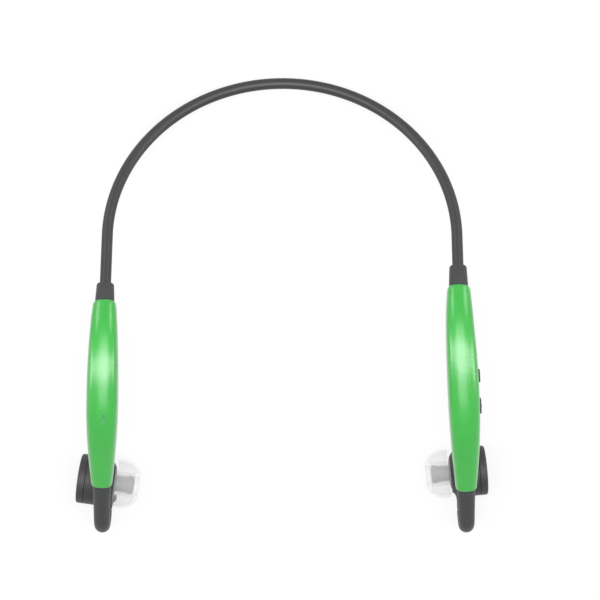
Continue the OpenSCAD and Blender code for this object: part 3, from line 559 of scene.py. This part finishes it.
# %% [markdown]
# ## Arm shells
# A section across an arm is a rounded box: |x / half| ** 2.5 + |n / height| ** 2.5 = 1.
# Half width and height swell from the rear to the middle and shrink to the front.
# The upper shell is the half above the parting line, the lower shell the half below.
# Key slots, screw holes, the microphone's hole and the socket's recess are pressed
# into the skin: a distance to each outline becomes a depth, and the skin moves
# inwards by that depth along its own normal, or straight sideways at the parting line.

# %% Sizes along an arm
SQUARE, FULLEST, WALL, PARTING, RIM = 2.5, 0.52, 1.1, 0.1, 1.1
END_ROUND, LIP_ROUND = 0.22, 0.16
FRONT_PLUG, PLUG_BORES = 4.5, (2.4, 1.75)
WIDTHS, TOP_H, BASE_H = (7.3, 10.3, 7.0), (3.4, 4.6, 3.1), (3.5, 5.2, 3.2)


def swell(share, sizes):
    """rear + (middle - rear) sin ** 0.7, then front + (middle - front) cos."""
    rear, middle, front = sizes
    rise = np.sin(np.pi / 2 * np.clip(share / FULLEST, 0, 1)) ** 0.7
    fall = np.cos(np.pi / 2 * np.clip((share - FULLEST) / (1 - FULLEST), 0, 1))
    return np.where(share < FULLEST, rear + (middle - rear) * rise,
                    front + (middle - front) * fall)


def drawn_in(distance, radius):
    """How far a rounded end draws in: radius (1 - sqrt(1 - e^2)), e = 1 - distance / radius."""
    edge = np.clip(1 - distance / radius, 0, 1)
    return radius * (1 - np.sqrt(1 - edge * edge))


def size_at(side, u, up):
    """Half width and height at u. They narrow by a tenth over the rear 1.1 mm, by a
    fortieth over the front 0.55 mm, and the very rims are rounded."""
    near = np.clip(1 - np.minimum(u, ARM_L[side] - u + RIM / 2) / RIM, 0, 1)
    rim = drawn_in(np.minimum(u, ARM_L[side] - u), END_ROUND)
    share = u / ARM_L[side]
    keep = 1 - 0.1 * near * near
    return (keep * swell(share, WIDTHS) / 2 - rim,
            keep * swell(share, TOP_H if up else BASE_H) - rim)


def bow(half, height, angle, power):
    """(half |cos| ** (2/power), height |sin| ** (2/power)), with the cosine's sign."""
    c, s = np.cos(angle), np.sin(angle)
    return (half * np.sign(c) * np.abs(c) ** (2 / power),
            height * np.abs(s) ** (2 / power))


print("widest", round(2 * float(size_at(LEFT, ARM_L[LEFT] * FULLEST, True)[0]), 2), "mm")

# %% Recesses in the arms
# Places are lengths along the arm
KEY_AT, KEY_L, KEY_H, KEY_N, KEY_GAP = (29.8, 39.9), (4.4, 5.4), 1.8, -0.3, 0.12
SOCKET_AT, SOCKET, COVER = 50.0, (7.4, 2.6), (10.4, 3.6)
LEG_AHEAD, LEG_X = 4.25, 1.05
MIC_AT, LIGHT_AT, LIGHT_X, LIGHT_L, LIGHT_W = 61.6, 37.3, -0.9, 4.2, 1.5
POST_D, POST_STEP, SCREW_R, MIC_R = 3.2, 0.3, 1.3, 0.45
SCREW_AT = [(REAR_PLUG + POST_STEP + POST_D / 2, end - FRONT_PLUG / 2) for end in ARM_L]
LEG_WELL_R, SOCKET_LIP, COVER_GAP, SLOT_SLACK = 0.5, 0.3, 0.1, 0.05
# How deep each recess goes, and a distance that is outside every recess
DEEP = dict(key=1.06, screw=0.8, cover=1.08, socket=3.6, leg=1.4, mic=1.2)
NOWHERE = 9.0


def bar(along, across, length, width):
    """Distance outside a bar with round ends; negative inside it."""
    return np.hypot(np.maximum(np.abs(along) - (length - width) / 2, 0), across) - width / 2


def pressed(distance, depth, soft=0.12):
    """depth (0.5 - distance / soft), held between 0 and depth: half of it on the outline."""
    return depth * np.clip(0.5 - distance / soft, 0, 1)


def press_depth(side, up, u, x, n):
    """How deep the skin is pressed in at length u, x sideways and n up."""
    depth = 0 * (u + x)
    if side == LEFT:
        for at, long in zip(KEY_AT, KEY_L):
            slot = bar(u - at, n - KEY_N, long, KEY_H) - KEY_GAP - SLOT_SLACK
            depth = np.maximum(depth, pressed(np.where(x > 0, slot, NOWHERE), DEEP["key"]))
    if not up:
        for at in SCREW_AT[side]:
            depth = np.maximum(depth, pressed(np.hypot(u - at, x) - SCREW_R, DEEP["screw"]))
    if side == LEFT and not up:
        cover = bar(u - SOCKET_AT, x, *COVER) - COVER_GAP
        socket = np.maximum(np.abs(u - SOCKET_AT) - SOCKET[0] / 2 + SOCKET_LIP,
                            np.abs(x) - SOCKET[1] / 2 + SOCKET_LIP)
        leg = np.hypot(u - SOCKET_AT - LEG_AHEAD, x - LEG_X) - LEG_WELL_R
        mic = np.hypot(u - MIC_AT, x) - MIC_R
        for name, outline in (("cover", cover), ("socket", socket), ("leg", leg),
                              ("mic", mic)):
            depth = np.maximum(depth, pressed(outline, DEEP[name]))
    return depth


print("screws at", SCREW_AT, "mm along the arms")

# %% Upper and lower shells
NEAR_PARTING, OUTER_STEPS, INNER_STEPS = 0.3, 150, 30


def fine_steps(side, spots):
    """Lengths 0.6 mm apart, 0.1 mm apart near each (place, reach), and closer at the ends."""
    ends = np.array([0, 0.03, 0.08, 0.15, 0.22, 0.35, 0.5, 0.7, 0.9, 1.1])
    parts = [ends, ARM_L[side] - ends, np.arange(1.6, ARM_L[side] - 1.2, 0.6)]
    parts += [np.arange(at - reach, at + reach, 0.1) for at, reach in spots]
    lengths = np.unique(np.round(np.concatenate(parts), 4))
    return lengths[np.append(True, np.diff(lengths) > 0.025)]


def arm_shell(side, up, spots):
    """Outer arc from 0 to 180 degrees, its points crowded towards the parting line, then
    the inner arc back, at every length u."""
    u = fine_steps(side, spots)[:, None]
    half, height = size_at(side, u, up)
    t = np.linspace(0, 1, OUTER_STEPS)[None, :]
    angle = np.pi * (t - 0.8 * np.sin(2 * np.pi * t) / (2 * np.pi))
    x, n = bow(half, height - PARTING / 2, angle, SQUARE)
    x = x - np.sign(x) * drawn_in(n, LIP_ROUND)
    sign = 1 if up else -1
    outer = beside(side, u, x, sign * (n + PARTING / 2))
    facing = np.cross(np.gradient(outer, axis=0), np.gradient(outer, axis=1))
    facing /= np.maximum(np.linalg.norm(facing, axis=-1, keepdims=True), 1e-9)
    middle = beside(side, u, 0 * x, sign * height * 0.4)
    facing *= np.sign(np.sum(facing * (outer - middle), -1, keepdims=True))
    sideways = beside(side, u, 1.0, 0.0) - beside(side, u, 0.0, 0.0)
    facing = np.where(n[..., None] < NEAR_PARTING, np.sign(x)[..., None] * sideways, facing)
    depth = press_depth(side, up, u, x, sign * (n + PARTING / 2))
    outer = outer - facing * depth[..., None]
    bore = np.select([u <= REAR_PLUG, u >= ARM_L[side] - FRONT_PLUG], PLUG_BORES, 0)
    back = np.linspace(np.pi, 0, INNER_STEPS)[None, :]
    hollow = bow(half - WALL, height - WALL, back, SQUARE)
    round_ = bow(bore, np.maximum(bore - PARTING / 2, 0), back, 2)
    x, n = (np.where(bore > 0, b, a) for a, b in zip(hollow, round_))
    return np.concatenate([outer, beside(side, u, x, sign * (n + PARTING / 2))], 1)


KEY_SPOTS = [(at, long / 2 + 0.5) for at, long in zip(KEY_AT, KEY_L)]
SPOTS = {(RIGHT, True): [],
         (LEFT, True): KEY_SPOTS,
         (RIGHT, False): [(at, 1.6) for at in SCREW_AT[RIGHT]],
         (LEFT, False): KEY_SPOTS + [(at, 1.6) for at in SCREW_AT[LEFT]] +
         [(SOCKET_AT, COVER[0] / 2 + 0.4), (MIC_AT, 0.7)]}
for (side, up), spots in SPOTS.items():
    which, half = SIDES[side], "top" if up else "base"
    skin(f"{which}_{half}_shell", arm_shell(side, up, spots), "headset",
         GREEN if up else CHARCOAL,
         [f"{which}_arm_{half}"])

# %% [markdown]
# ## Curled ends
# The dark end of each arm leaves it a little narrower, dives, and turns back in a
# tight curl, so that the pod hangs under the arm. It is an ellipse carried
# along the same line, and it narrows towards the pod with the square root of the
# way gone, quickly at first. Its first and last 0.2 mm are rounded, and the mould
# leaves a fine line along both sides.

# %% Curled ends
CURL_W, CURL_END_W = 6.4, 5.0
CURL_RIM, MOULD_LINE, MOULD_LINE_W, GIRTH_R = 0.2, 0.07, 0.035, 2.8


def curled_end(side):
    """Ellipse of half width w / 2 and half thickness 2.6, w = 6.4 - 1.4 sqrt(share), and
    the lengths along it and round it, for its UV map."""
    start, finish = ARM_L[side] + FACE_GAP, LINES[side]["finish"]
    ends = np.array([0, 0.01, 0.03, 0.07, 0.12, 0.2, 0.4, 0.6])
    u = np.concatenate([start + ends, np.arange(start + 0.9, finish - 0.8, 0.35),
                        finish - ends[::-1]])[:, None]
    share = (u - start) / (finish - start)
    half = (CURL_W + (CURL_END_W - CURL_W) * np.sqrt(share)) / 2
    rim = drawn_in(np.minimum(u - start, finish - u), CURL_RIM)
    angle = full_turn(72)[None, :]
    line = MOULD_LINE * np.exp(-(np.sin(angle) / MOULD_LINE_W) ** 2)
    x = (half - rim - line) * np.cos(angle)
    grid = beside(side, u, x, (CURL_T / 2 - rim) * np.sin(angle))
    return grid, (u[:, 0], angle[0] * GIRTH_R)


for side, which in enumerate(SIDES):
    grid, lengths = curled_end(side)
    skin(f"{which}_curl_skin", grid, "headset", RUBBER, [f"{which}_curl"],
         uv=lengths)

# %% [markdown]
# ## Pods
# A pod is turned: a profile of radius against depth, swept round the pod's own axis,
# which runs from the flat back to the sound nozzle. The back cap and the housing
# meet in a fine groove. A short neck on the housing's side takes the curled end, and
# it flares where it meets the pod, as a moulded neck does.

# %% Turning round a pod's axis
POD_SPAN, POD_Y, POD_YAW = 137.2, (-58.8, -56.1), np.radians([8, 5])
CAP_L, CAP_ROUND, POD_WALL, SHOULDER = 2.6, 0.7, 1.2, 7.6
PIPE_AT, PIPE_END, PIPE_R, BORE_R, BARB_R = 12.4, 18.4, 2.6, 1.8, 3.1
DRIVER_R, LEDGE, FRONT_R, MESH_R = 6.8, 6.5, 6.1, 2.2
SEAT_R = DRIVER_R + 0.1


def in_pod(side, a, b, along):
    """Pod coordinates (a up, b sideways, along the axis) to the frame: yaw, then place."""
    c, s = math.cos(POD_YAW[side]), math.sin(POD_YAW[side])
    return np.stack([MIRROR[side] * (POD_SPAN / 2 - along * c - b * s),
                     POD_Y[side] - along * s + b * c, POD_R + a + 0 * along], -1)


def turned(side, profile, steps=96):
    """Each profile point (r, along) becomes a circle of radius r at that depth."""
    r, along = np.asarray(profile, float).T[:, :, None]
    around = full_turn(steps)[None, :]
    return in_pod(side, r * np.cos(around), r * np.sin(around), along + 0 * around)


share = np.sin(np.linspace(0, np.pi / 2, 24))
foot = PIPE_R + 0.8
dome_r = foot + (POD_R - foot) * np.sqrt(np.maximum(1 - share ** 2, 0))
dome = np.stack([dome_r, SHOULDER + (PIPE_AT - SHOULDER) * share], -1)
HOUSING = np.concatenate([
    rounded([[SEAT_R, LEDGE], [SEAT_R, CAP_L], [POD_R, CAP_L], [POD_R, SHOULDER]], 0.12),
    dome[1:],
    rounded([[PIPE_R + 0.3, PIPE_AT], [PIPE_R, PIPE_AT + 0.1], [PIPE_R, PIPE_END - 2.2],
             [BARB_R, PIPE_END - 1.6], [BARB_R, PIPE_END - 0.9], [PIPE_R, PIPE_END],
             [MESH_R, PIPE_END], [MESH_R, PIPE_END - 0.6], [BORE_R, PIPE_END - 0.6],
             [BORE_R, PIPE_AT - 0.4], [FRONT_R, SHOULDER + 0.6], [FRONT_R, LEDGE]], 0.2)])
for side, which in enumerate(SIDES):
    skin(f"{which}_pod_skin", turned(side, HOUSING), "headset", CHARCOAL,
         [f"{which}_pod_housing"], wrap=(True, True))

# %% Neck between the curled end and the pod
FLARE, FLARE_L, FLARE_FULL, NECK_SUNK = 1.6, 0.9, 1.6, 2.4


def pod_neck(side):
    """Radius 2.5 from the curl, flaring by 1.6 exp(-distance / 0.9) towards the pod. The
    last 2.4 mm are sunk in it, and over the last 1.6 mm the flare is full."""
    finish = LINES[side]["finish"]
    pod_y = POD_Y[side] - ARM_Y[side] - station(side, finish)[0]
    reach = pod_y - POD_R + NECK_SUNK
    run = np.concatenate([FACE_GAP + np.array([0, 0.02, 0.05, 0.1, CURL_RIM]),
                          np.linspace(0.6, reach, 30)])[:, None]
    r = CURL_END_W / 2 - drawn_in(run - FACE_GAP, CURL_RIM)
    r = r + FLARE * np.exp(-np.maximum(reach - FLARE_FULL - run, 0) / FLARE_L)
    angle = full_turn(72)[None, :]
    centre = beside(side, np.array([[finish]]), 0.0, 0.0)
    offset = np.stack([r * np.cos(angle), run + 0 * angle, r * np.sin(angle)], -1)
    return centre + offset


for side, which in enumerate(SIDES):
    skin(f"{which}_pod_neck", pod_neck(side), "headset", CHARCOAL,
         [f"{which}_pod_housing"])

# %% Back caps
CALL_R, CALL_GAP, WEB_R = 4.0, 0.12, 5.0
POLE_R = 0.02        # radius of the face that closes a pole
angle = np.linspace(0, np.pi / 2, 10)
RIM_ARC = np.stack([POD_R - CAP_ROUND + CAP_ROUND * np.sin(angle),
                    CAP_ROUND - CAP_ROUND * np.cos(angle)], -1)
CUP = rounded([[POD_R, 2.0], [POD_R, CAP_L - FACE_GAP], [SEAT_R, CAP_L - FACE_GAP],
               [SEAT_R, POD_WALL + 1], [DRIVER_R - 1, POD_WALL], [WEB_R, POD_WALL]],
              [0.12, 0.12, 0.2, 0.2, 0.2, 0.2])
closed_cap = np.concatenate([[[POLE_R, 0]], RIM_ARC, CUP, [[POLE_R, POD_WALL]]])
skin("left_pod_back", turned(LEFT, closed_cap), "headset", CHARCOAL,
     ["left_pod_cap"])
hole = rounded([[WEB_R, POD_WALL], [CALL_R + CALL_GAP, POD_WALL], [CALL_R + CALL_GAP, 0],
                [WEB_R, 0]], 0.2)
skin("right_pod_back", turned(RIGHT, np.concatenate([RIM_ARC, CUP[:-1], hole])), "headset",
     CHARCOAL, ["right_pod_cap"], wrap=(True, True))

# %% [markdown]
# ## Call key
# The only button on the right pod fills the middle of its back. A shallow dish in
# its face, a parabolic hollow 0.25 mm deep, tells the fingertip where it is.

# %% Call key
DISH_R, DISH_DEPTH, PROUD, FOOT_R = CALL_R - 0.5, 0.25, 0.2, CALL_R + 0.7
r = np.linspace(POLE_R, DISH_R, 14)
dish = np.stack([r, -PROUD + DISH_DEPTH * (1 - (r / DISH_R) ** 2)], -1)
body = rounded([[DISH_R, -PROUD], [CALL_R, -0.1], [CALL_R, POD_WALL + 0.3],
                [FOOT_R, POD_WALL + 0.3], [FOOT_R, POD_WALL + 0.8], [POLE_R, POD_WALL + 0.8]],
               [0, 0.2, 0.05, 0.1, 0.1, 0])
skin("call_key_skin", turned(RIGHT, np.concatenate([dish[:-1], body])), "call_key", RUBBER,
     ["call_key"])

# %% [markdown]
# ## Ear tips
# A tip is one turned shell: a sleeve that grips the nozzle, a mouth, and a soft dome
# that folds back over the sleeve to a thin skirt. Outside and inside of the dome are
# two ellipses 0.7 mm apart, and the skirt's edge is thinner still.

# %% Ear tips
TIP = dict(r=8.15, rim=12.3, low=13.9, end=20.2, wall=0.7, mouth=3.75,
           sleeve=3.15, sleeve_out=4.05, sleeve_back=12.55, seam=14.0)


def dome_line(first, last, inset, steps=26):
    """(mouth + (r - mouth - inset) sin, low + (end - low - inset) cos)."""
    angle = np.linspace(first, last, steps)
    return np.stack([
        TIP["mouth"] + (TIP["r"] - TIP["mouth"] - inset) * np.sin(angle),
        TIP["low"] + (TIP["end"] - TIP["low"] - inset) * np.cos(angle)], -1)


TIP_PROFILE = np.concatenate([
    rounded([[TIP["sleeve"], TIP["seam"]], [TIP["sleeve"], TIP["end"] - 0.3],
             [TIP["mouth"], TIP["end"]], dome_line(0.1, 0.2, 0)[0]], 0.3),
    dome_line(0.14, np.pi / 2, 0),
    rounded([[TIP["r"], TIP["rim"] + 1.0], [TIP["r"] - 0.15, TIP["rim"]],
             [TIP["r"] - TIP["wall"] + 0.1, TIP["rim"]],
             [TIP["r"] - TIP["wall"], TIP["rim"] + 1.0]], 0.22),
    dome_line(np.pi / 2, 0.55, TIP["wall"]),
    rounded([[TIP["sleeve_out"] + 0.3, TIP["end"] - 1.6], [TIP["sleeve_out"], TIP["end"] - 2.6],
             [TIP["sleeve_out"], TIP["sleeve_back"]], [TIP["sleeve"], TIP["sleeve_back"]],
             [TIP["sleeve"], TIP["seam"]]], 0.25)])
for side, which in enumerate(SIDES):
    skin(f"{which}_ear_tip_skin", turned(side, TIP_PROFILE), f"{which}_tip", SILICONE,
         [f"{which}_ear_tip"], wrap=(True, True))

# %% [markdown]
# ## Keys, cover and light
# Small pads sit in the arms: two keys on the left arm's outer face, the rubber cover
# of the charging socket under it, and the light's window on top of the right arm.
# Each pad is an outline drawn on the arm's surface, filled by shrinking it to its
# middle, and given a rounded edge and a side wall that runs down into the arm.

# %% Pads on the arm's surface
def bar_outline(length, width, steps=72):
    """(width/2 cos + (length-width)/2 sign(cos), width/2 sin): a bar with round ends."""
    angle = full_turn(steps) + np.pi / steps
    return (width / 2 * np.cos(angle) + (length - width) / 2 * np.sign(np.cos(angle)),
            width / 2 * np.sin(angle))


def pad(outline, place, thick, edge=0.2, face=lambda s, a: 0 * s):
    """Rows run from the middle of the face to its edge, down the wall and back below.
    place(a, b, lift) puts outline coordinates on the arm; face adds height to the face."""
    a, b = outline
    s = np.concatenate([np.linspace(0.02, 0.75, 12), np.linspace(0.8, 0.97, 6)])[:, None]
    turn = np.linspace(0, np.pi / 2, 6)[:, None]
    span = min(np.ptp(a), np.ptp(b)) / 2
    lip = 1 - edge / span * (1 - np.sin(turn))
    scale = np.concatenate([s * lip[0], lip, [[1.0]], [[0.9]], [[0.02]]])
    lift = np.concatenate([0 * s, edge * (np.cos(turn) - 1), [[-thick], [-thick], [-thick]]])
    top = np.concatenate([np.ones_like(s), np.cos(turn), [[0], [0], [0]]])
    return place(a * scale, b * scale, lift + top * face(scale, a * scale))


def on_outer_face(at, proud):
    """Key coordinates: a along the arm, b up, lift outwards from half width + proud."""
    half = size_at(LEFT, np.array(at), True)[0] + proud
    lean = LEAN[LEFT]

    def place(a, b, lift):
        slope = station(LEFT, at + 0 * a)[2]
        out, high = half + lift, b + KEY_N
        back = high * np.sin(slope) - a * np.cos(slope)
        return beside(LEFT, at + 0 * a, 0 * a, 0 * a) + np.stack([
            out * math.cos(lean) - back * math.sin(lean),
            out * math.sin(lean) + back * math.cos(lean),
            a * np.sin(slope) + high * np.cos(slope)], -1)
    return place


def ridge(s, a):
    """A 0.15 mm ridge across the key's middle, exp(-(a / 0.35) ** 2), over a slight crown."""
    return 0.15 * np.exp(-(a / 0.35) ** 2) - 0.05 * s * s


def hollow(s, a):
    """A dish 0.15 mm deep in the middle of the key."""
    return -0.15 * np.exp(-(s / 0.6) ** 2)


KEY_PROUD, KEY_T = 0.5, 0.85
for name, at, long, face in zip(("rear_key", "front_key"), KEY_AT, KEY_L, (hollow, ridge)):
    skin(f"{name}_pad", pad(bar_outline(long, KEY_H), on_outer_face(at, KEY_PROUD), KEY_T,
                            face=face), name, RUBBER, [name])

# %% Cover of the charging socket
def under_arm(at, inset):
    """Cover coordinates: a along, b sideways, lift down; the face follows the shell."""
    def place(a, b, lift):
        half, height = size_at(LEFT, at + a, False)
        n = -height * (1 - np.abs(b / half) ** SQUARE) ** (1 / SQUARE)
        flat = -size_at(LEFT, np.array(at), False)[1]
        down = beside(LEFT, at, 0.0, flat - 1) - beside(LEFT, at, 0.0, flat)
        return beside(LEFT, at + a, b, n) + down * (lift - inset)[..., None]
    return place


def nail_notch(s, a):
    """A notch 0.3 mm deep at the front end, for a fingernail."""
    return -0.3 / (1 + np.exp(-(a - 4.2) / 0.12))


def retaining_leg(steps=24):
    """A pin from the cover's back to n = -0.5: base + along, across and up vectors, with
    radius 0.4 that falls to 0.2 over its last tenth, so that it finds its hole."""
    low = 0.6 - float(size_at(LEFT, np.array(SOCKET_AT), False)[1])
    base = beside(LEFT, SOCKET_AT, 0.0, low)
    across = beside(LEFT, SOCKET_AT, 1.0, low) - base
    up = beside(LEFT, SOCKET_AT, 0.0, low + 1) - base
    angle = full_turn(steps)
    share, r = np.array([[0, 0.6, 0.9, 1.0], [0.4, 0.4, 0.4, 0.2]])[:, :, None, None]
    return (base + (LEG_AHEAD + r * np.cos(angle)[None, :, None]) * np.cross(across, up)
            + (LEG_X + r * np.sin(angle)[None, :, None]) * across
            + share * (-0.5 - low) * up)


COVER_T, NUB = 0.9, (6.2, 1.5)
for name, grid in (
        ("skin", pad(bar_outline(*COVER), under_arm(SOCKET_AT, 0.0), COVER_T, 0.18, nail_notch)),
        ("nub", pad(bar_outline(*NUB), under_arm(SOCKET_AT, COVER_T), COVER_T, 0.05)),
        ("leg", retaining_leg())):
    skin(f"socket_cover_{name}", grid, "socket_cover", RUBBER,
         ["socket_cover"])

# %% Status light
LENS_PROUD, LENS_T, LENS_EDGE = 0.04, 0.7, 0.1


def over_arm(a, b, lift):
    """Light coordinates: a along, b sideways, lift up; the face follows the shell."""
    u = LIGHT_AT + a
    half, height = size_at(RIGHT, u, True)
    n = height * (1 - np.abs((LIGHT_X + b) / half) ** SQUARE) ** (1 / SQUARE)
    return beside(RIGHT, u, LIGHT_X + b, n + lift + LENS_PROUD)


def drop_outline(steps=60):
    """A half circle in front, two straight sides, and a blunt tip behind."""
    centre, tip = LIGHT_L / 2 - LIGHT_W / 2, -LIGHT_L / 2
    angle = np.linspace(-np.pi / 2, np.pi / 2, steps // 2)
    front = np.stack([centre + LIGHT_W / 2 * np.cos(angle), LIGHT_W / 2 * np.sin(angle)], -1)
    run = np.linspace(0, 1, 8)[1:, None]
    side = [centre, LIGHT_W / 2] + run * [tip - centre, LIGHT_W * (0.2 - 0.5)]
    corner = rounded(np.concatenate([front, side, side[::-1] * [1, -1]]), 0.2, closed=True)
    return corner[:, 0], corner[:, 1]


def light_lens():
    """Frosted polycarbonate with painted shade: darker over its blunt tip and paler ahead
    of it, a blend along Y from 0.4 mm ahead of the lens's middle to 0.8 mm behind it."""
    material, nodes, place = new_material("frosted_polycarbonate_lens")
    haze = add(nodes, "ShaderNodeTexNoise",
               {"Vector": place, "Scale": per(0.4), "Detail": 2.0}).outputs["Fac"]
    along = add(nodes, "ShaderNodeSeparateXYZ", {0: place}).outputs[1]
    middle = float(over_arm(0.0, 0.0, 0.0)[1])
    # Painted shade: the colour darkens towards the lens's blunt tip behind
    shade = add(nodes, "ShaderNodeMapRange", {
        "Value": along, "From Min": (middle - 0.4) * MM,
        "From Max": (middle + 0.8) * MM}).outputs[0]
    return surfaced(material, (shade, "#4aa55b", "#3c9250"), (haze, 0.22, 0.34),
                    (haze, 0.1, 0.02), {"IOR": 1.58, "Transmission Weight": 0.1})


skin("status_light_lens", pad(drop_outline(), over_arm, LENS_T, LENS_EDGE), "headset",
     light_lens(), ["light_pipe"])

# %% [markdown]
# ## Floor and light
# A pale floor carries the headset's faint shadow. What the camera and reflections
# see of it is mostly its own even white, as in a catalogue picture. The shadow, and
# the light that it throws back, come from a real matt surface.
#
# The shells are round across and arched along, so each lamp shows in them as a
# streak. Seven boxes form an arch from side to side over the arms' crests, deepest
# overhead: their glow fills a shell's width at the crest and fades along it. A long
# weak strip overhead carries the fade on, two boxes behind light the band's legs,
# and a dim sky fills the rest.

# %% Floor
def seen_straight(nodes):
    """1 where the camera, a reflection or a clear lens looks at it, 0 for its light."""
    path = add(nodes, "ShaderNodeLightPath").outputs
    seen = path["Is Camera Ray"]
    for ray in ("Is Glossy Ray", "Is Transmission Ray"):
        seen = add(nodes, "ShaderNodeMath", {0: seen, 1: path[ray]},
                   operation="MAXIMUM").outputs[0]
    return seen


def pale_sweep():
    """A matt off-white floor with a plain white glow that only eyes see, which takes
    80 % of it under the headset and all of it from half a metre away."""
    material, nodes, place = new_material("seamless_paper_white")
    fibre = add(nodes, "ShaderNodeTexNoise",
                {"Vector": place, "Scale": per(2), "Detail": 3.0}).outputs["Fac"]
    paper = add(nodes, "ShaderNodeBsdfDiffuse",
                {"Color": two_tones(nodes, fibre, "#efefef", "#f4f4f4")})
    glow = add(nodes, "ShaderNodeEmission", {"Color": rgba("#ffffff"), "Strength": 1.0})
    away = add(nodes, "ShaderNodeVectorMath", {0: place}, operation="LENGTH").outputs[1]
    fade = add(nodes, "ShaderNodeMapRange", {
        "Value": away, "From Min": 0.12, "From Max": 0.5, "To Min": 0.8, "To Max": 1.0})
    share = add(nodes, "ShaderNodeMath", {0: seen_straight(nodes), 1: fade.outputs[0]},
                operation="MULTIPLY").outputs[0]
    mixed = add(nodes, "ShaderNodeMixShader",
                {0: share, 1: paper.outputs[0], 2: glow.outputs[0]})
    return finished(material, mixed)


FLOOR_HALF = 3000.0
mesh = bpy.data.meshes.new("floor")
corners = np.array([[-1, -1, 0], [1, -1, 0], [1, 1, 0], [-1, 1, 0]]) * FLOOR_HALF * MM
mesh.from_pydata(corners - [0, 0, 0.05 * MM], [], [[0, 1, 2, 3]])
mesh.materials.append(pale_sweep())
floor = in_scene("floor", mesh)

# %% Lights
def soft_box(name, place, aim, span, size, radiance):
    """A lamp at place that faces aim, size[0] long towards span; watts = radiance x area x pi."""
    data = bpy.data.lights.new(name, "AREA")
    data.shape, data.size, data.size_y = "RECTANGLE", size[0] * MM, size[1] * MM
    data.energy = radiance * math.pi * size[0] * size[1] * MM * MM
    lamp = in_scene(name, data)
    behind = (Vector(place) - Vector(aim)).normalized()
    across = behind.cross(Vector(span)).normalized()
    turn = Matrix((across.cross(behind), across, behind)).transposed()
    lamp.visible_transmission = False
    lamp.matrix_world = Matrix.Translation(Vector(place) * MM) @ turn.to_4x4()


ARMS = (0, -18, 40)        # the middle of the arch, which its boxes aim at
ARCH_R, ARCH_STEP = 700.0, 24
ARCH_DEPTH = {0: 330, 24: 260, 48: 150, 72: 200}
ARCH_GLOW, STRIP_GLOW, BACK_GLOW = 4.2, 1.9, 2.4
for angle in range(-72, 73, ARCH_STEP):
    lean = math.radians(angle)
    place = (ARCH_R * math.sin(lean), ARMS[1], ARMS[2] + ARCH_R * math.cos(lean))
    soft_box(f"arch_{angle + 90}", place, ARMS, (0, 1, 0),
             (ARCH_DEPTH[abs(angle)], ARCH_R * math.radians(ARCH_STEP)), ARCH_GLOW)
soft_box("ridge_strip", (0, -50, 730), (0, -50, 0), (0, 1, 0), (820, 420), STRIP_GLOW)
for side, word in ((-1, "left"), (1, "right")):
    soft_box(f"back_{word}", (520 * side, 610, 405), (0, 20, 20), (0, 0, 1), (420, 320),
             BACK_GLOW)

world = bpy.data.worlds.new("studio")
bpy.context.scene.world = world
world.use_nodes = True
nodes = world.node_tree.nodes
nodes.clear()
fill = add(nodes, "ShaderNodeBackground", {"Color": rgba("#ffffff"), "Strength": 0.12})
white = add(nodes, "ShaderNodeBackground", {"Color": rgba("#ffffff"), "Strength": 1.0})
both = add(nodes, "ShaderNodeMixShader",
           {0: seen_straight(nodes), 1: fill.outputs[0], 2: white.outputs[0]})
add(nodes, "ShaderNodeOutputWorld", {"Surface": both.outputs[0]})
bpy.context.scene.view_settings.view_transform = "Standard"
